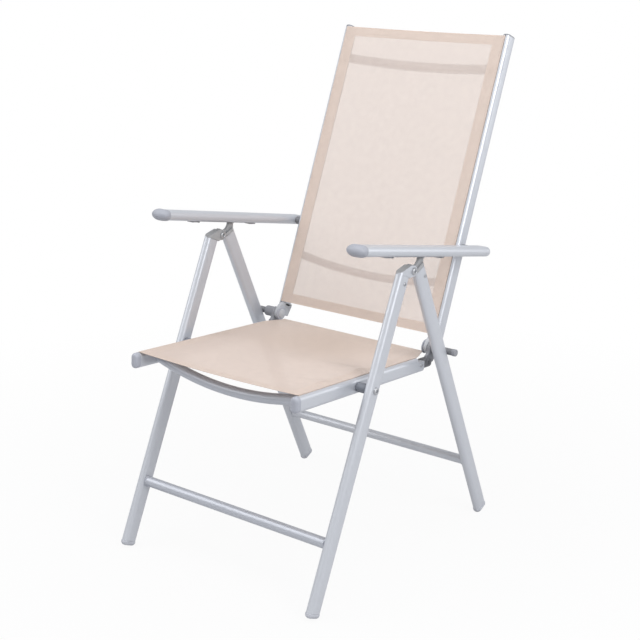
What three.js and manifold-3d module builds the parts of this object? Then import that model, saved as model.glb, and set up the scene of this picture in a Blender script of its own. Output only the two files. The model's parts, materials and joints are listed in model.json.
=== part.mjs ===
// Folding garden chair with a mesh sling seat and back, a flat-oval tube frame and reclining armrests.
// Millimetres, +Z up, the sitter faces -Y. The origin is on the floor, under the middle of the chair.
import * as THREE from 'three';
import { mergeVertices } from 'three/addons/utils/BufferGeometryUtils.js';
import Module from 'manifold-3d';

const wasm = await Module();
wasm.setup();

// Clearance between two pieces that touch, and the running clearance of a pivot in its bore
const FIT = 0.3;
const RUN = 0.3;

// Tube stock: flat-oval legs and rails with their flat faces to the sides, and a wide flat armrest
const TUBE_WALL = 1.2;
const LEG_WIDTH = 18;
const LEG_DEPTH = 34;
const RAIL_WIDTH = 18;
const RAIL_DEPTH = 32;
const ARM_WIDTH = 40;
const ARM_HEIGHT = 22;
const FRONT_STRETCHER_RADIUS = 11;
const REAR_STRETCHER_RADIUS = 10;
const SEAT_BAR_RADIUS = 11;
const BACK_BAR_RADIUS = 9;

// Side planes: legs and armrests stand outside the seat and back rails
const LEG_PLANE = 250;
const RAIL_PLANE = 207.5;

// Leg scissor: the hinge lies between the two tubes, just under the armrest
const HINGE_HEIGHT = 625;
const FRONT_LEAN = 25;
const REAR_LEAN = 24.2;
const FRONT_HINGE_OFFSET = 22.5;
const REAR_HINGE_OFFSET = 23.5;
const FRONT_TUBE_DROP = 16;
const REAR_TUBE_DROP = 12;
const FRONT_STRETCHER_DROP = 553;
const REAR_STRETCHER_DROP = 543;
const FOOT_HEIGHT = 24;
const FOOT_LIP = 0.8;
const PLUG_LENGTH = 24;

// Seat: turns on a bolt through the front leg
const SEAT_PIVOT_DROP = 245.5;
const SEAT_TILT = 4.5;
const SEAT_RAIL_FRONT = 178;
const SEAT_RAIL_REAR = 264;
const SEAT_CAP_LENGTH = 12;
const SEAT_BAR_FRONT = 121;
const SEAT_BAR_BOW = 32;
const SLING_THICKNESS = 1.2;
const SLING_SAG = 4;
const SLING_GROOVE = 2.4;
const SLING_HEM = 7;
const SLING_LIFT = 0.5;
const SLING_STEPS = 12;
const GROOVE_ROOM = 2;
const SEAT_SLING_FRONT_INSET = 3;
const SEAT_SLING_REAR_INSET = 15;
const SEAT_CAP_ROUND = 6;
const HINGE_CAP_ROUND = 4;
const LUG_HEEL = 2;

// Back: turns on the rods that rest behind the rear legs
const ROD_RADIUS = 7;
const ROD_DROP = 245;
const ROD_REST_GAP = 0.4;
const ROD_END = 273;
const BACK_LEAN = 22.5;
const BACK_OFFSET = 20;
const BACK_RAIL_BOTTOM = 26;
const BACK_RAIL_TOP = 680;
const BACK_CAP_LENGTH = 6;
const BACK_CAP_ROUND = 5;
const BACK_SLING_INSET = 2;
const BRACKET_COLLAR = 6;
const BRACKET_ROUND = 3;
const BRACKET_HEEL = 8;
const UPPER_BAR_DROP = 72;
const LOWER_BAR_HEIGHT = 145;
const UPPER_BAR_DIP = 5;
const LOWER_BAR_DIP = 10;
const BACK_BAR_BOW = 15;
const EYE_RADIUS = 13;
const ROD_HEAD_RADIUS = 11;
const ROD_HEAD_LENGTH = 4;
const ROD_CHAMFER = 1.5;
const BOW_STEPS = 10;

// Armrest: turns on the back rail and lies with its notched rack on the pin of the rear leg's horn
const ARM_PIVOT_HEIGHT = 219;
const ARM_TUBE_FRONT = 380;
const ARM_TUBE_REAR = 38;
const ARM_FRONT_CAP_LENGTH = 70;
const ARM_FRONT_CAP_LIP = 1.6;
const ARM_FRONT_CAP_ROUND = 11;
const ARM_REAR_CAP_LENGTH = 13;
const ARM_REAR_CAP_ROUND = 8;
const ARM_REAR_PLUG = 14;
const ARM_PLUG_LAP = 6;
const ARM_NUT_INSET = 5;
const LOCK_PIN_RADIUS = 3;
const LOCK_PIN_LENGTH = 20;
const HORN_TIP = 6;
const LOCK_PIN_BACK = 40.2;
const LOCK_PIN_RISE = 6.5;
const LOCK_PIN_BELOW = 10.3;
const RACK_FRONT = 326;
const RACK_REAR = 118;
const RACK_CHEEK = 2;
const RACK_TOP = 1;
const RACK_DROP = 13;
const RACK_TAB = 14;
const RACK_TAB_THICKNESS = 3;
const RACK_WALL = 4;
const HORN_ROOM = 1;
const NOTCH_PITCH = 19;
const NOTCH_RADIUS = 3.6;

// Knuckle at the leg hinge: two cheeks on the front leg hold one tongue of the rear leg
const TONGUE = 7;
const CHEEK_EYE = 12;
const TONGUE_EYE = 11;
const TONGUE_ROOM = 3;
const KNUCKLE_ROUND = 6;
const KNUCKLE_CROWN = 2;
const HORN_CAP_HEIGHT = 7;
const HORN_SINK = 0.5;
const HORN_INSET = 3;
const HORN_SWEEP = 4;
const HORN_TIP_TURN = 126;
const HORN_WAIST_SHIFT = 2;
const HORN_WAIST_HEIGHT = 3;
const FRONT_SCREW_SHIFT = 3;
const REAR_SCREW_SHIFT = 5;
const BOLT_RADIUS = 4;
const BOLT_HEAD_RADIUS = 7.5;
const BOLT_HEAD_LENGTH = 4;
const NUT_RADIUS = 6.5;
const SPACER_RADIUS = 10;
const BUSH_RADIUS = 9;
const SCREW_RADIUS = 2;
const SCREW_HEAD_RADIUS = 4;
const SCREW_HEAD_LENGTH = 2;
const SCREW_LENGTH = 9;

// Facets: steps of an outline's curves, of a small notch, and sides of round pieces
const ROUND = 4;
const NOTCH_ROUND = 2;
const SIDES = 12;
const SMALL_SIDES = 8;

// How far a cutter reaches past a face, and a plug into its cap
const PAST = 1;
const PLUG_LAP = 2;

// Worked-out places
const legOuter = LEG_PLANE + LEG_WIDTH / 2;
const legInner = LEG_PLANE - LEG_WIDTH / 2;
const railOuter = RAIL_PLANE + RAIL_WIDTH / 2;
const railInner = RAIL_PLANE - RAIL_WIDTH / 2;
const grooveDepth = SLING_HEM + GROOVE_ROOM;
const frontTubeTop = -FRONT_TUBE_DROP;
const rearTubeTop = -REAR_TUBE_DROP;
const rad = THREE.MathUtils.degToRad;

// Materials
const silver = new THREE.MeshStandardMaterial({ color: 0xc3c7d0, roughness: 0.35, metalness: 0.7 });
const plasticGrey = new THREE.MeshStandardMaterial({ color: 0x8d9199, roughness: 0.6, metalness: 0 });
const plasticDark = new THREE.MeshStandardMaterial({ color: 0x4c4e54, roughness: 0.6, metalness: 0 });
const steel = new THREE.MeshStandardMaterial({ color: 0xb4b8bf, roughness: 0.3, metalness: 0.9 });
const slingCloth = new THREE.MeshStandardMaterial({ color: 0xe3d3c5, roughness: 0.9, metalness: 0 });

// Solids from geometries and back, so that pieces can be joined and cut
function solidOf(geometry) {
  const bare = geometry.clone();
  bare.deleteAttribute('normal');
  bare.deleteAttribute('uv');
  const merged = mergeVertices(bare, 1e-4);
  const vertProperties = Float32Array.from(merged.attributes.position.array);
  const triVerts = Uint32Array.from(merged.index.array);
  return new wasm.Manifold(new wasm.Mesh({ numProp: 3, vertProperties, triVerts }));
}

function geometryOf(solid) {
  const result = solid.getMesh();
  const geometry = new THREE.BufferGeometry();
  geometry.setAttribute('position', new THREE.BufferAttribute(result.vertProperties, 3));
  geometry.setIndex(new THREE.BufferAttribute(result.triVerts, 1));
  geometry.computeVertexNormals();
  return geometry;
}

function join(...geometries) {
  return geometryOf(geometries.map(solidOf).reduce((whole, next) => whole.add(next)));
}

function cut(geometry, ...tools) {
  return geometryOf(tools.map(solidOf).reduce((whole, tool) => whole.subtract(tool), solidOf(geometry)));
}

function common(geometry, other) {
  return geometryOf(solidOf(geometry).intersect(solidOf(other)));
}

// The same piece on the other side of the chair
function mirrored(geometry) {
  const copy = mergeVertices(geometry.clone().deleteAttribute('normal').deleteAttribute('uv'), 1e-4);
  copy.scale(-1, 1, 1);
  const index = copy.index.array;
  for (let i = 0; i < index.length; i += 3) {
    [index[i], index[i + 1]] = [index[i + 1], index[i]];
  }
  copy.computeVertexNormals();
  return copy;
}

// Flat-oval outline, round at its two narrow ends
function flatOval(width, height) {
  const shape = new THREE.Shape();
  const radius = Math.min(width, height) / 2;
  const reach = Math.abs(width - height) / 2;
  const start = width > height ? -Math.PI / 2 : 0;
  const dx = width > height ? reach : 0;
  const dy = width > height ? 0 : reach;
  shape.absarc(dx, dy, radius, start, start + Math.PI, false);
  shape.absarc(-dx, -dy, radius, start + Math.PI, start + 2 * Math.PI, false);
  shape.closePath();
  return shape;
}

// Straight bar of a given outline along local z, its middle at (x, y)
function bar(shape, x, y, from, to) {
  const options = { depth: to - from, bevelEnabled: false, curveSegments: ROUND };
  return new THREE.ExtrudeGeometry(shape, options).translate(x, y, from);
}

function ovalBar(width, height, x, y, from, to) {
  return bar(flatOval(width, height), x, y, from, to);
}

function ovalTube(width, height, x, y, from, to) {
  const shape = flatOval(width, height);
  shape.holes.push(flatOval(width - 2 * TUBE_WALL, height - 2 * TUBE_WALL));
  return bar(shape, x, y, from, to);
}

// Plug that fills the inside of a tube, along local z
function tubePlug(width, height, x, y, from, to) {
  const inside = 2 * (TUBE_WALL + FIT);
  return ovalBar(width - inside, height - inside, x, y, from, to);
}

// Turns a bar built along z so that it runs along y, keeping its place across
function layDown(geometry) {
  return geometry.rotateX(-Math.PI / 2);
}

// Bar with both ends rounded over, for caps: the outline is drawn in at the ends by the round
function domedBar(width, height, x, y, from, to, round) {
  const geometry = new THREE.ExtrudeGeometry(flatOval(width, height), {
    depth: to - from - 2 * round,
    bevelThickness: round,
    bevelSize: round * 0.8,
    bevelOffset: -round * 0.8,
    bevelSegments: 2,
    curveSegments: ROUND,
  });
  return geometry.translate(x, y, from + round);
}

// Side-view outline, drawn in (y, z), as a plate between two places across the chair
function plate(shape, fromX, toX, curveSegments = ROUND) {
  const options = { depth: toX - fromX, bevelEnabled: false, curveSegments };
  const geometry = new THREE.ExtrudeGeometry(shape, options);
  const turn = new THREE.Matrix4().makeBasis(
    new THREE.Vector3(0, 1, 0),
    new THREE.Vector3(0, 0, 1),
    new THREE.Vector3(1, 0, 0),
  );
  return geometry.applyMatrix4(turn).translate(fromX, 0, 0);
}

// Box between two corners
function block(fromX, toX, fromY, toY, fromZ, toZ) {
  const geometry = new THREE.BoxGeometry(toX - fromX, toY - fromY, toZ - fromZ);
  return geometry.translate((fromX + toX) / 2, (fromY + toY) / 2, (fromZ + toZ) / 2);
}

// Cap on a bar along z: flat where it meets the tube and rounded over at its tip
function domedEnd(width, height, x, y, face, tip, round) {
  const outward = Math.sign(tip - face);
  const stockEnd = face - outward * 2 * round;
  const limit = tip + outward * PAST;
  const stock = domedBar(width, height, x, y, Math.min(tip, stockEnd), Math.max(tip, stockEnd), round);
  const low = Math.min(face, limit);
  const high = Math.max(face, limit);
  return common(stock, block(x - width, x + width, y - height, y + height, low, high));
}

// Round pin across the chair
function pin(radius, fromX, toX, y, z, sides = SIDES) {
  const geometry = new THREE.CylinderGeometry(radius, radius, toX - fromX, sides);
  return geometry.rotateZ(-Math.PI / 2).translate((fromX + toX) / 2, y, z);
}

// Turned piece across the chair from a list of [x, radius] pairs
function turned(profile, y, z, sides = SIDES) {
  const points = profile.map(([x, radius]) => new THREE.Vector2(radius, x));
  return new THREE.LatheGeometry(points, sides).rotateZ(-Math.PI / 2).translate(0, y, z);
}

// Bolt across the chair with a domed head outside and a nut inside
function bolt(innerX, outerX, y, z) {
  const shank = BOLT_RADIUS - RUN;
  return turned([
    [innerX - FIT - BOLT_HEAD_LENGTH, 0],
    [innerX - FIT - BOLT_HEAD_LENGTH, NUT_RADIUS],
    [innerX - FIT, NUT_RADIUS],
    [innerX - FIT, shank],
    [outerX + FIT, shank],
    [outerX + FIT, BOLT_HEAD_RADIUS],
    [outerX + FIT + BOLT_HEAD_LENGTH * 0.5, BOLT_HEAD_RADIUS * 0.9],
    [outerX + FIT + BOLT_HEAD_LENGTH, BOLT_HEAD_RADIUS * 0.5],
    [outerX + FIT + BOLT_HEAD_LENGTH, 0],
  ], y, z);
}

// Screw driven inwards through the outer wall of a tube into the plug inside it
function sideScrew(outerX, y, z) {
  const shank = SCREW_RADIUS - FIT;
  return turned([
    [outerX - SCREW_LENGTH, 0],
    [outerX - SCREW_LENGTH, shank],
    [outerX + FIT, shank],
    [outerX + FIT, SCREW_HEAD_RADIUS],
    [outerX + FIT + SCREW_HEAD_LENGTH, SCREW_HEAD_RADIUS * 0.6],
    [outerX + FIT + SCREW_HEAD_LENGTH, 0],
  ], y, z, SMALL_SIDES);
}

function sideScrewHole(outerX, y, z) {
  return pin(SCREW_RADIUS, outerX - SCREW_LENGTH - FIT, outerX + PAST, y, z, SMALL_SIDES);
}

// Ring across the chair
function ring(radius, bore, fromX, toX, y, z) {
  return turned([[fromX, bore], [fromX, radius], [toX, radius], [toX, bore], [fromX, bore]], y, z);
}

// Round tube across the chair that follows a bow: z dips by dip and y swells by bow in the middle
function bowedTube(radius, y, z, dip, bow) {
  const shape = new THREE.Shape().absarc(0, 0, radius, 0, 2 * Math.PI, false);
  shape.holes.push(new THREE.Path().absarc(0, 0, radius - TUBE_WALL, 0, 2 * Math.PI, false));
  const path = new THREE.QuadraticBezierCurve3(
    new THREE.Vector3(-RAIL_PLANE, y, z),
    new THREE.Vector3(0, y + 2 * bow, z - 2 * dip),
    new THREE.Vector3(RAIL_PLANE, y, z),
  );
  const options = { extrudePath: path, steps: BOW_STEPS, curveSegments: ROUND };
  const tube = new THREE.ExtrudeGeometry(shape, options);
  const between = railInner - FIT;
  const far = 4 * radius;
  const room = block(-between, between, y - far, y + far + 2 * bow, z - far - 2 * dip, z + far);
  return common(tube, room);
}

// Sling stretched between two rails: its hems turn down into the grooves of the rails.
// Drawn as a band in (x, height over the rail's crown) and run along the rails from one end to the other.
function slingBand(from, to) {
  const half = SLING_THICKNESS / 2;
  const top = new THREE.Shape();
  const heightAt = (x) => SLING_LIFT - SLING_SAG * (1 - (x / RAIL_PLANE) ** 2);
  top.moveTo(-RAIL_PLANE - half, -SLING_HEM);
  for (let i = 0; i <= SLING_STEPS; i += 1) {
    const x = -RAIL_PLANE - half + (2 * i * (RAIL_PLANE + half)) / SLING_STEPS;
    top.lineTo(x, heightAt(x) + SLING_THICKNESS);
  }
  top.lineTo(RAIL_PLANE + half, -SLING_HEM);
  top.lineTo(RAIL_PLANE - half, -SLING_HEM);
  for (let i = 0; i <= SLING_STEPS; i += 1) {
    const x = RAIL_PLANE - half - (2 * i * (RAIL_PLANE - half)) / SLING_STEPS;
    top.lineTo(x, heightAt(x));
  }
  top.lineTo(-RAIL_PLANE + half, -SLING_HEM);
  top.closePath();
  return bar(top, 0, 0, from, to);
}

// Cutter for the groove that holds a hem, open at the crown of a rail
function grooveCutter(crown, from, to) {
  return block(
    RAIL_PLANE - SLING_GROOVE / 2,
    RAIL_PLANE + SLING_GROOVE / 2,
    from,
    to,
    crown - grooveDepth,
    crown + PAST,
  );
}

// Adds a named mesh, or a left and right pair of them
function add(group, name, geometry, material) {
  const piece = new THREE.Mesh(geometry, material);
  piece.name = name;
  group.add(piece);
}

function addPair(group, name, geometry, material) {
  add(group, `${name}_left`, geometry, material);
  add(group, `${name}_right`, mirrored(geometry), material);
}

// A group is a moving body of the chair, placed at its pivot and turned to its own slope
const chair = new THREE.Group();

function body(place, slope) {
  const group = new THREE.Group();
  group.position.set(0, place.y, place.z);
  group.rotation.x = rad(slope);
  chair.add(group);
  group.updateMatrixWorld(true);
  return group;
}

function at(group, y, z) {
  return group.localToWorld(new THREE.Vector3(0, y, z));
}

function seenFrom(group, point) {
  return group.worldToLocal(point.clone());
}

// Half-space under the floor, seen from a leaning body
function underFloor(group) {
  const far = 4 * HINGE_HEIGHT;
  const slab = new THREE.BoxGeometry(far, far, far).translate(0, 0, -far / 2);
  return slab.applyMatrix4(group.matrixWorld.clone().invert());
}

// Plastic foot: a cup on the end of a leg with a plug inside the tube and a flat tread on the floor
function foot(group, axisY, tubeEnd) {
  const lip = 2 * FOOT_LIP;
  const past = 2 * FOOT_HEIGHT;
  const cup = ovalBar(LEG_WIDTH + lip, LEG_DEPTH + lip, LEG_PLANE, axisY, tubeEnd - past, tubeEnd - FIT);
  const plug = tubePlug(LEG_WIDTH, LEG_DEPTH, LEG_PLANE, axisY, tubeEnd - FIT, tubeEnd + PLUG_LENGTH);
  return cut(join(cup, plug), underFloor(group));
}

function legPlug(axisY, tubeTop) {
  return tubePlug(LEG_WIDTH, LEG_DEPTH, LEG_PLANE, axisY, tubeTop - PLUG_LENGTH, tubeTop + PLUG_LAP);
}

const hinge = new THREE.Vector3(0, 0, HINGE_HEIGHT);
const frontLegs = body(hinge, -FRONT_LEAN);
const rearLegs = body(hinge, REAR_LEAN);
const frontAxis = -FRONT_HINGE_OFFSET;
const rearAxis = REAR_HINGE_OFFSET;
const seatPivot = at(frontLegs, frontAxis, -SEAT_PIVOT_DROP);
const seat = body(seatPivot, -SEAT_TILT);
const rodPlace = at(rearLegs, rearAxis + LEG_DEPTH / 2 + ROD_RADIUS + ROD_REST_GAP, -ROD_DROP);
const rods = body(rodPlace, 0);
const back = body(rodPlace, -BACK_LEAN);
const armPivot = at(back, BACK_OFFSET, ARM_PIVOT_HEIGHT);
const armPivots = body(armPivot, 0);

// The armrest slopes so that its rack lies on the horn's pin
const lockPin = at(rearLegs, LOCK_PIN_BACK, LOCK_PIN_RISE);
const fromPin = armPivot.clone().sub(lockPin);
const pinAlong = Math.sqrt(fromPin.lengthSq() - LOCK_PIN_BELOW ** 2);
const armSlope = Math.atan2(fromPin.z, fromPin.y) - Math.atan2(LOCK_PIN_BELOW, pinAlong);
const armrests = body(armPivot, THREE.MathUtils.radToDeg(armSlope));

// Front legs
function floorReach(lean, axisY) {
  return (HINGE_HEIGHT + axisY * Math.sin(rad(lean))) / Math.cos(rad(lean));
}

const boltHole = (y, z, fromX, toX) => pin(BOLT_RADIUS, fromX, toX, y, z);

function buildFrontLegs() {
  const footEnd = FOOT_HEIGHT - floorReach(-FRONT_LEAN, frontAxis);
  const screwY = frontAxis + FRONT_SCREW_SHIFT;
  const screwZ = frontTubeTop - PLUG_LENGTH / 2;
  const screwHole = sideScrewHole(legOuter, screwY, screwZ);
  const pivotHole = boltHole(frontAxis, -SEAT_PIVOT_DROP, legInner - PAST, legOuter + PAST);
  const tube = ovalTube(LEG_WIDTH, LEG_DEPTH, LEG_PLANE, frontAxis, footEnd, frontTubeTop);
  addPair(frontLegs, 'front_leg', cut(tube, pivotHole, screwHole), silver);
  addPair(frontLegs, 'front_foot', foot(frontLegs, frontAxis, footEnd), plasticGrey);

  // Knuckle: a cap that continues the tube, with two rear cheeks round the hinge bolt
  const outline = new THREE.Shape();
  const capFront = frontAxis - LEG_DEPTH / 2;
  const capFoot = frontTubeTop + FIT;
  outline.moveTo(capFront, capFoot);
  outline.lineTo(frontAxis + LEG_DEPTH / 2, capFoot);
  outline.lineTo(0, -CHEEK_EYE);
  outline.absarc(0, 0, CHEEK_EYE, -Math.PI / 2, Math.PI / 2, false);
  outline.quadraticCurveTo(frontAxis, CHEEK_EYE, capFront + KNUCKLE_ROUND, KNUCKLE_CROWN);
  outline.quadraticCurveTo(capFront, KNUCKLE_CROWN - KNUCKLE_ROUND / 2, capFront, -KNUCKLE_ROUND);
  outline.closePath();
  const columnRear = CHEEK_EYE + LEG_WIDTH / 2;
  const columnDepth = columnRear - capFront;
  const columnMiddle = (columnRear + capFront) / 2;
  const column = ovalBar(LEG_WIDTH, columnDepth, LEG_PLANE, columnMiddle, capFoot, 2 * CHEEK_EYE);
  const cap = common(plate(outline, legInner, legOuter), column);
  const slotHalf = TONGUE / 2 + RUN;
  const slotRear = 3 * CHEEK_EYE;
  const slot = block(LEG_PLANE - slotHalf, LEG_PLANE + slotHalf, 0, slotRear, -slotRear, slotRear);
  const slotRadius = TONGUE_EYE + TONGUE_ROOM;
  const slotRound = pin(slotRadius, LEG_PLANE - slotHalf, LEG_PLANE + slotHalf, 0, 0, 2 * SIDES);
  const bore = boltHole(0, 0, legInner - PAST, legOuter + PAST);
  const knuckle = cut(join(cap, legPlug(frontAxis, frontTubeTop)), slot, slotRound, bore, screwHole);
  addPair(frontLegs, 'front_knuckle', knuckle, plasticGrey);

  addPair(frontLegs, 'leg_hinge_bolt', bolt(legInner, legOuter, 0, 0), steel);
  addPair(frontLegs, 'front_knuckle_screw', sideScrew(legOuter, screwY, screwZ), steel);
  addPair(frontLegs, 'seat_pivot_bolt', bolt(railInner, legOuter, frontAxis, -SEAT_PIVOT_DROP), steel);
  const spacerFrom = railOuter + FIT;
  const spacerTo = legInner - FIT;
  const spacer = ring(SPACER_RADIUS, BOLT_RADIUS, spacerFrom, spacerTo, frontAxis, -SEAT_PIVOT_DROP);
  addPair(frontLegs, 'seat_pivot_spacer', spacer, plasticDark);
  const reach = legInner - FIT;
  const stretcher = ring(
    FRONT_STRETCHER_RADIUS,
    FRONT_STRETCHER_RADIUS - TUBE_WALL,
    -reach,
    reach,
    frontAxis,
    -FRONT_STRETCHER_DROP,
  );
  add(frontLegs, 'front_stretcher', stretcher, silver);
}

// Rear legs, with the horn that carries the armrest on its cross pin
function buildRearLegs() {
  const footEnd = FOOT_HEIGHT - floorReach(REAR_LEAN, rearAxis);
  const screwY = rearAxis + REAR_SCREW_SHIFT;
  const screwZ = rearTubeTop - PLUG_LENGTH / 2;
  const screwHole = sideScrewHole(legOuter, screwY, screwZ);
  const tube = ovalTube(LEG_WIDTH, LEG_DEPTH, LEG_PLANE, rearAxis, footEnd, rearTubeTop);
  addPair(rearLegs, 'rear_leg', cut(tube, screwHole), silver);
  addPair(rearLegs, 'rear_foot', foot(rearLegs, rearAxis, footEnd), plasticGrey);

  // Horn: a tongue round the hinge bolt, swept up and back to the pin, on a cap that closes the tube
  const capFoot = rearTubeTop + FIT;
  const outline = new THREE.Shape();
  outline.moveTo(0, -TONGUE_EYE);
  outline.lineTo(rearAxis, capFoot + HORN_SINK);
  outline.lineTo(rearAxis + LEG_DEPTH / 2 - HORN_INSET, capFoot + HORN_SINK);
  const hornRear = LOCK_PIN_BACK + HORN_TIP;
  outline.quadraticCurveTo(hornRear, capFoot + HORN_SWEEP, hornRear, LOCK_PIN_RISE);
  outline.absarc(LOCK_PIN_BACK, LOCK_PIN_RISE, HORN_TIP, 0, rad(HORN_TIP_TURN), false);
  outline.quadraticCurveTo(rearAxis - HORN_WAIST_SHIFT, HORN_WAIST_HEIGHT, 0, TONGUE_EYE);
  outline.absarc(0, 0, TONGUE_EYE, Math.PI / 2, Math.PI * 1.5, false);
  outline.closePath();
  const horn = plate(outline, LEG_PLANE - TONGUE / 2, LEG_PLANE + TONGUE / 2);
  const capBlock = ovalBar(LEG_WIDTH, LEG_DEPTH, LEG_PLANE, rearAxis, capFoot, capFoot + HORN_CAP_HEIGHT);
  const cheekRoom = pin(CHEEK_EYE + RUN, legInner - PAST, legOuter + PAST, 0, 0, 2 * SIDES);
  const cap = cut(capBlock, cheekRoom);
  const bore = boltHole(0, 0, legInner - PAST, legOuter + PAST);
  const pinBore = pin(LOCK_PIN_RADIUS + FIT, legInner, legOuter, LOCK_PIN_BACK, LOCK_PIN_RISE);
  const fitting = cut(join(cap, horn, legPlug(rearAxis, rearTubeTop)), bore, pinBore, screwHole);
  addPair(rearLegs, 'rear_horn', fitting, plasticGrey);

  const pinFrom = LEG_PLANE - LOCK_PIN_LENGTH / 2;
  const pinTo = LEG_PLANE + LOCK_PIN_LENGTH / 2;
  addPair(rearLegs, 'lock_pin', pin(LOCK_PIN_RADIUS, pinFrom, pinTo, LOCK_PIN_BACK, LOCK_PIN_RISE), steel);
  addPair(rearLegs, 'rear_horn_screw', sideScrew(legOuter, screwY, screwZ), steel);
  const reach = legInner - FIT;
  const stretcher = ring(
    REAR_STRETCHER_RADIUS,
    REAR_STRETCHER_RADIUS - TUBE_WALL,
    -reach,
    reach,
    rearAxis,
    -REAR_STRETCHER_DROP,
  );
  add(rearLegs, 'rear_stretcher', stretcher, silver);
}

// Plug in the end of a rail, kept clear of the hem in its groove by the given room
function railPlug(y, from, to, room) {
  return common(tubePlug(RAIL_WIDTH, RAIL_DEPTH, RAIL_PLANE, y, from, to), room);
}

// Seat frame and sling
function buildSeat() {
  const crown = RAIL_DEPTH / 2;
  const boltBore = boltHole(0, 0, railInner - PAST, railOuter + PAST);
  const screwY = SEAT_RAIL_REAR - PLUG_LENGTH / 2;
  const screwHole = sideScrewHole(railOuter, screwY, 0);
  const tube = layDown(ovalTube(RAIL_WIDTH, RAIL_DEPTH, RAIL_PLANE, 0, -SEAT_RAIL_FRONT, SEAT_RAIL_REAR));
  const groove = grooveCutter(crown, -SEAT_RAIL_FRONT - PAST, SEAT_RAIL_REAR + PAST);
  addPair(seat, 'seat_rail', cut(tube, groove, boltBore, screwHole), silver);

  // Front caps: a plug with a domed end
  const tip = -SEAT_RAIL_FRONT - SEAT_CAP_LENGTH;
  const face = -SEAT_RAIL_FRONT - FIT;
  const dome = domedEnd(RAIL_WIDTH, RAIL_DEPTH, RAIL_PLANE, 0, face, tip, SEAT_CAP_ROUND);
  const plugTop = crown - grooveDepth - FIT;
  const room = block(0, 2 * RAIL_PLANE, -plugTop, RAIL_DEPTH, tip, SEAT_RAIL_REAR + PLUG_LENGTH);
  const frontPlug = railPlug(0, face - PAST, -SEAT_RAIL_FRONT + PLUG_LENGTH, room);
  addPair(seat, 'seat_front_cap', layDown(join(dome, frontPlug)), plasticGrey);

  // Rear hinge plugs: an end cap and, on its outer half, a lug that rises to the hinge rod
  const rod = seenFrom(seat, rodPlace);
  const capEnd = SEAT_RAIL_REAR + SEAT_CAP_LENGTH;
  const capFace = SEAT_RAIL_REAR + FIT;
  const endCap = domedEnd(RAIL_WIDTH, RAIL_DEPTH, RAIL_PLANE, 0, capFace, capEnd, HINGE_CAP_ROUND);
  const rearPlug = railPlug(0, SEAT_RAIL_REAR - PLUG_LENGTH, SEAT_RAIL_REAR + PLUG_LAP, room);
  const outline = new THREE.Shape();
  outline.moveTo(capFace, 0);
  outline.lineTo(capEnd - LUG_HEEL, 0);
  outline.quadraticCurveTo(rod.y + EYE_RADIUS, crown * 0.6, rod.y + EYE_RADIUS, rod.z);
  outline.absarc(rod.y, rod.z, EYE_RADIUS, 0, Math.PI * 1.45, false);
  outline.lineTo(capFace, crown + FIT);
  outline.closePath();
  const lug = plate(outline, RAIL_PLANE + FIT, railOuter);
  const hingePlug = join(layDown(join(endCap, rearPlug)), lug);
  const rodBore = pin(ROD_RADIUS + RUN, railInner - PAST, railOuter + PAST, rod.y, rod.z);
  addPair(seat, 'seat_hinge_plug', cut(hingePlug, rodBore, screwHole), plasticGrey);
  addPair(seat, 'seat_hinge_screw', sideScrew(railOuter, screwY, 0), steel);

  add(seat, 'seat_front_bar', bowedTube(SEAT_BAR_RADIUS, -SEAT_BAR_FRONT, 0, SEAT_BAR_BOW, 0), silver);
  const band = slingBand(SEAT_SLING_REAR_INSET - SEAT_RAIL_REAR, SEAT_RAIL_FRONT - SEAT_SLING_FRONT_INSET);
  add(seat, 'seat_sling', band.rotateX(Math.PI / 2).translate(0, 0, crown), slingCloth);
}

// Hinge rods between seat and back: they run out behind the rear legs and rest on them
function buildRods() {
  const rod = turned([
    [railInner - FIT - ROD_HEAD_LENGTH, 0],
    [railInner - FIT - ROD_HEAD_LENGTH, ROD_HEAD_RADIUS * 0.8],
    [railInner - FIT - ROD_HEAD_LENGTH / 2, ROD_HEAD_RADIUS],
    [railInner - FIT, ROD_HEAD_RADIUS],
    [railInner - FIT, ROD_RADIUS],
    [ROD_END - ROD_CHAMFER, ROD_RADIUS],
    [ROD_END, ROD_RADIUS - ROD_CHAMFER],
    [ROD_END, 0],
  ], 0, 0);
  addPair(rods, 'hinge_rod', rod, plasticDark);
}

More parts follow.
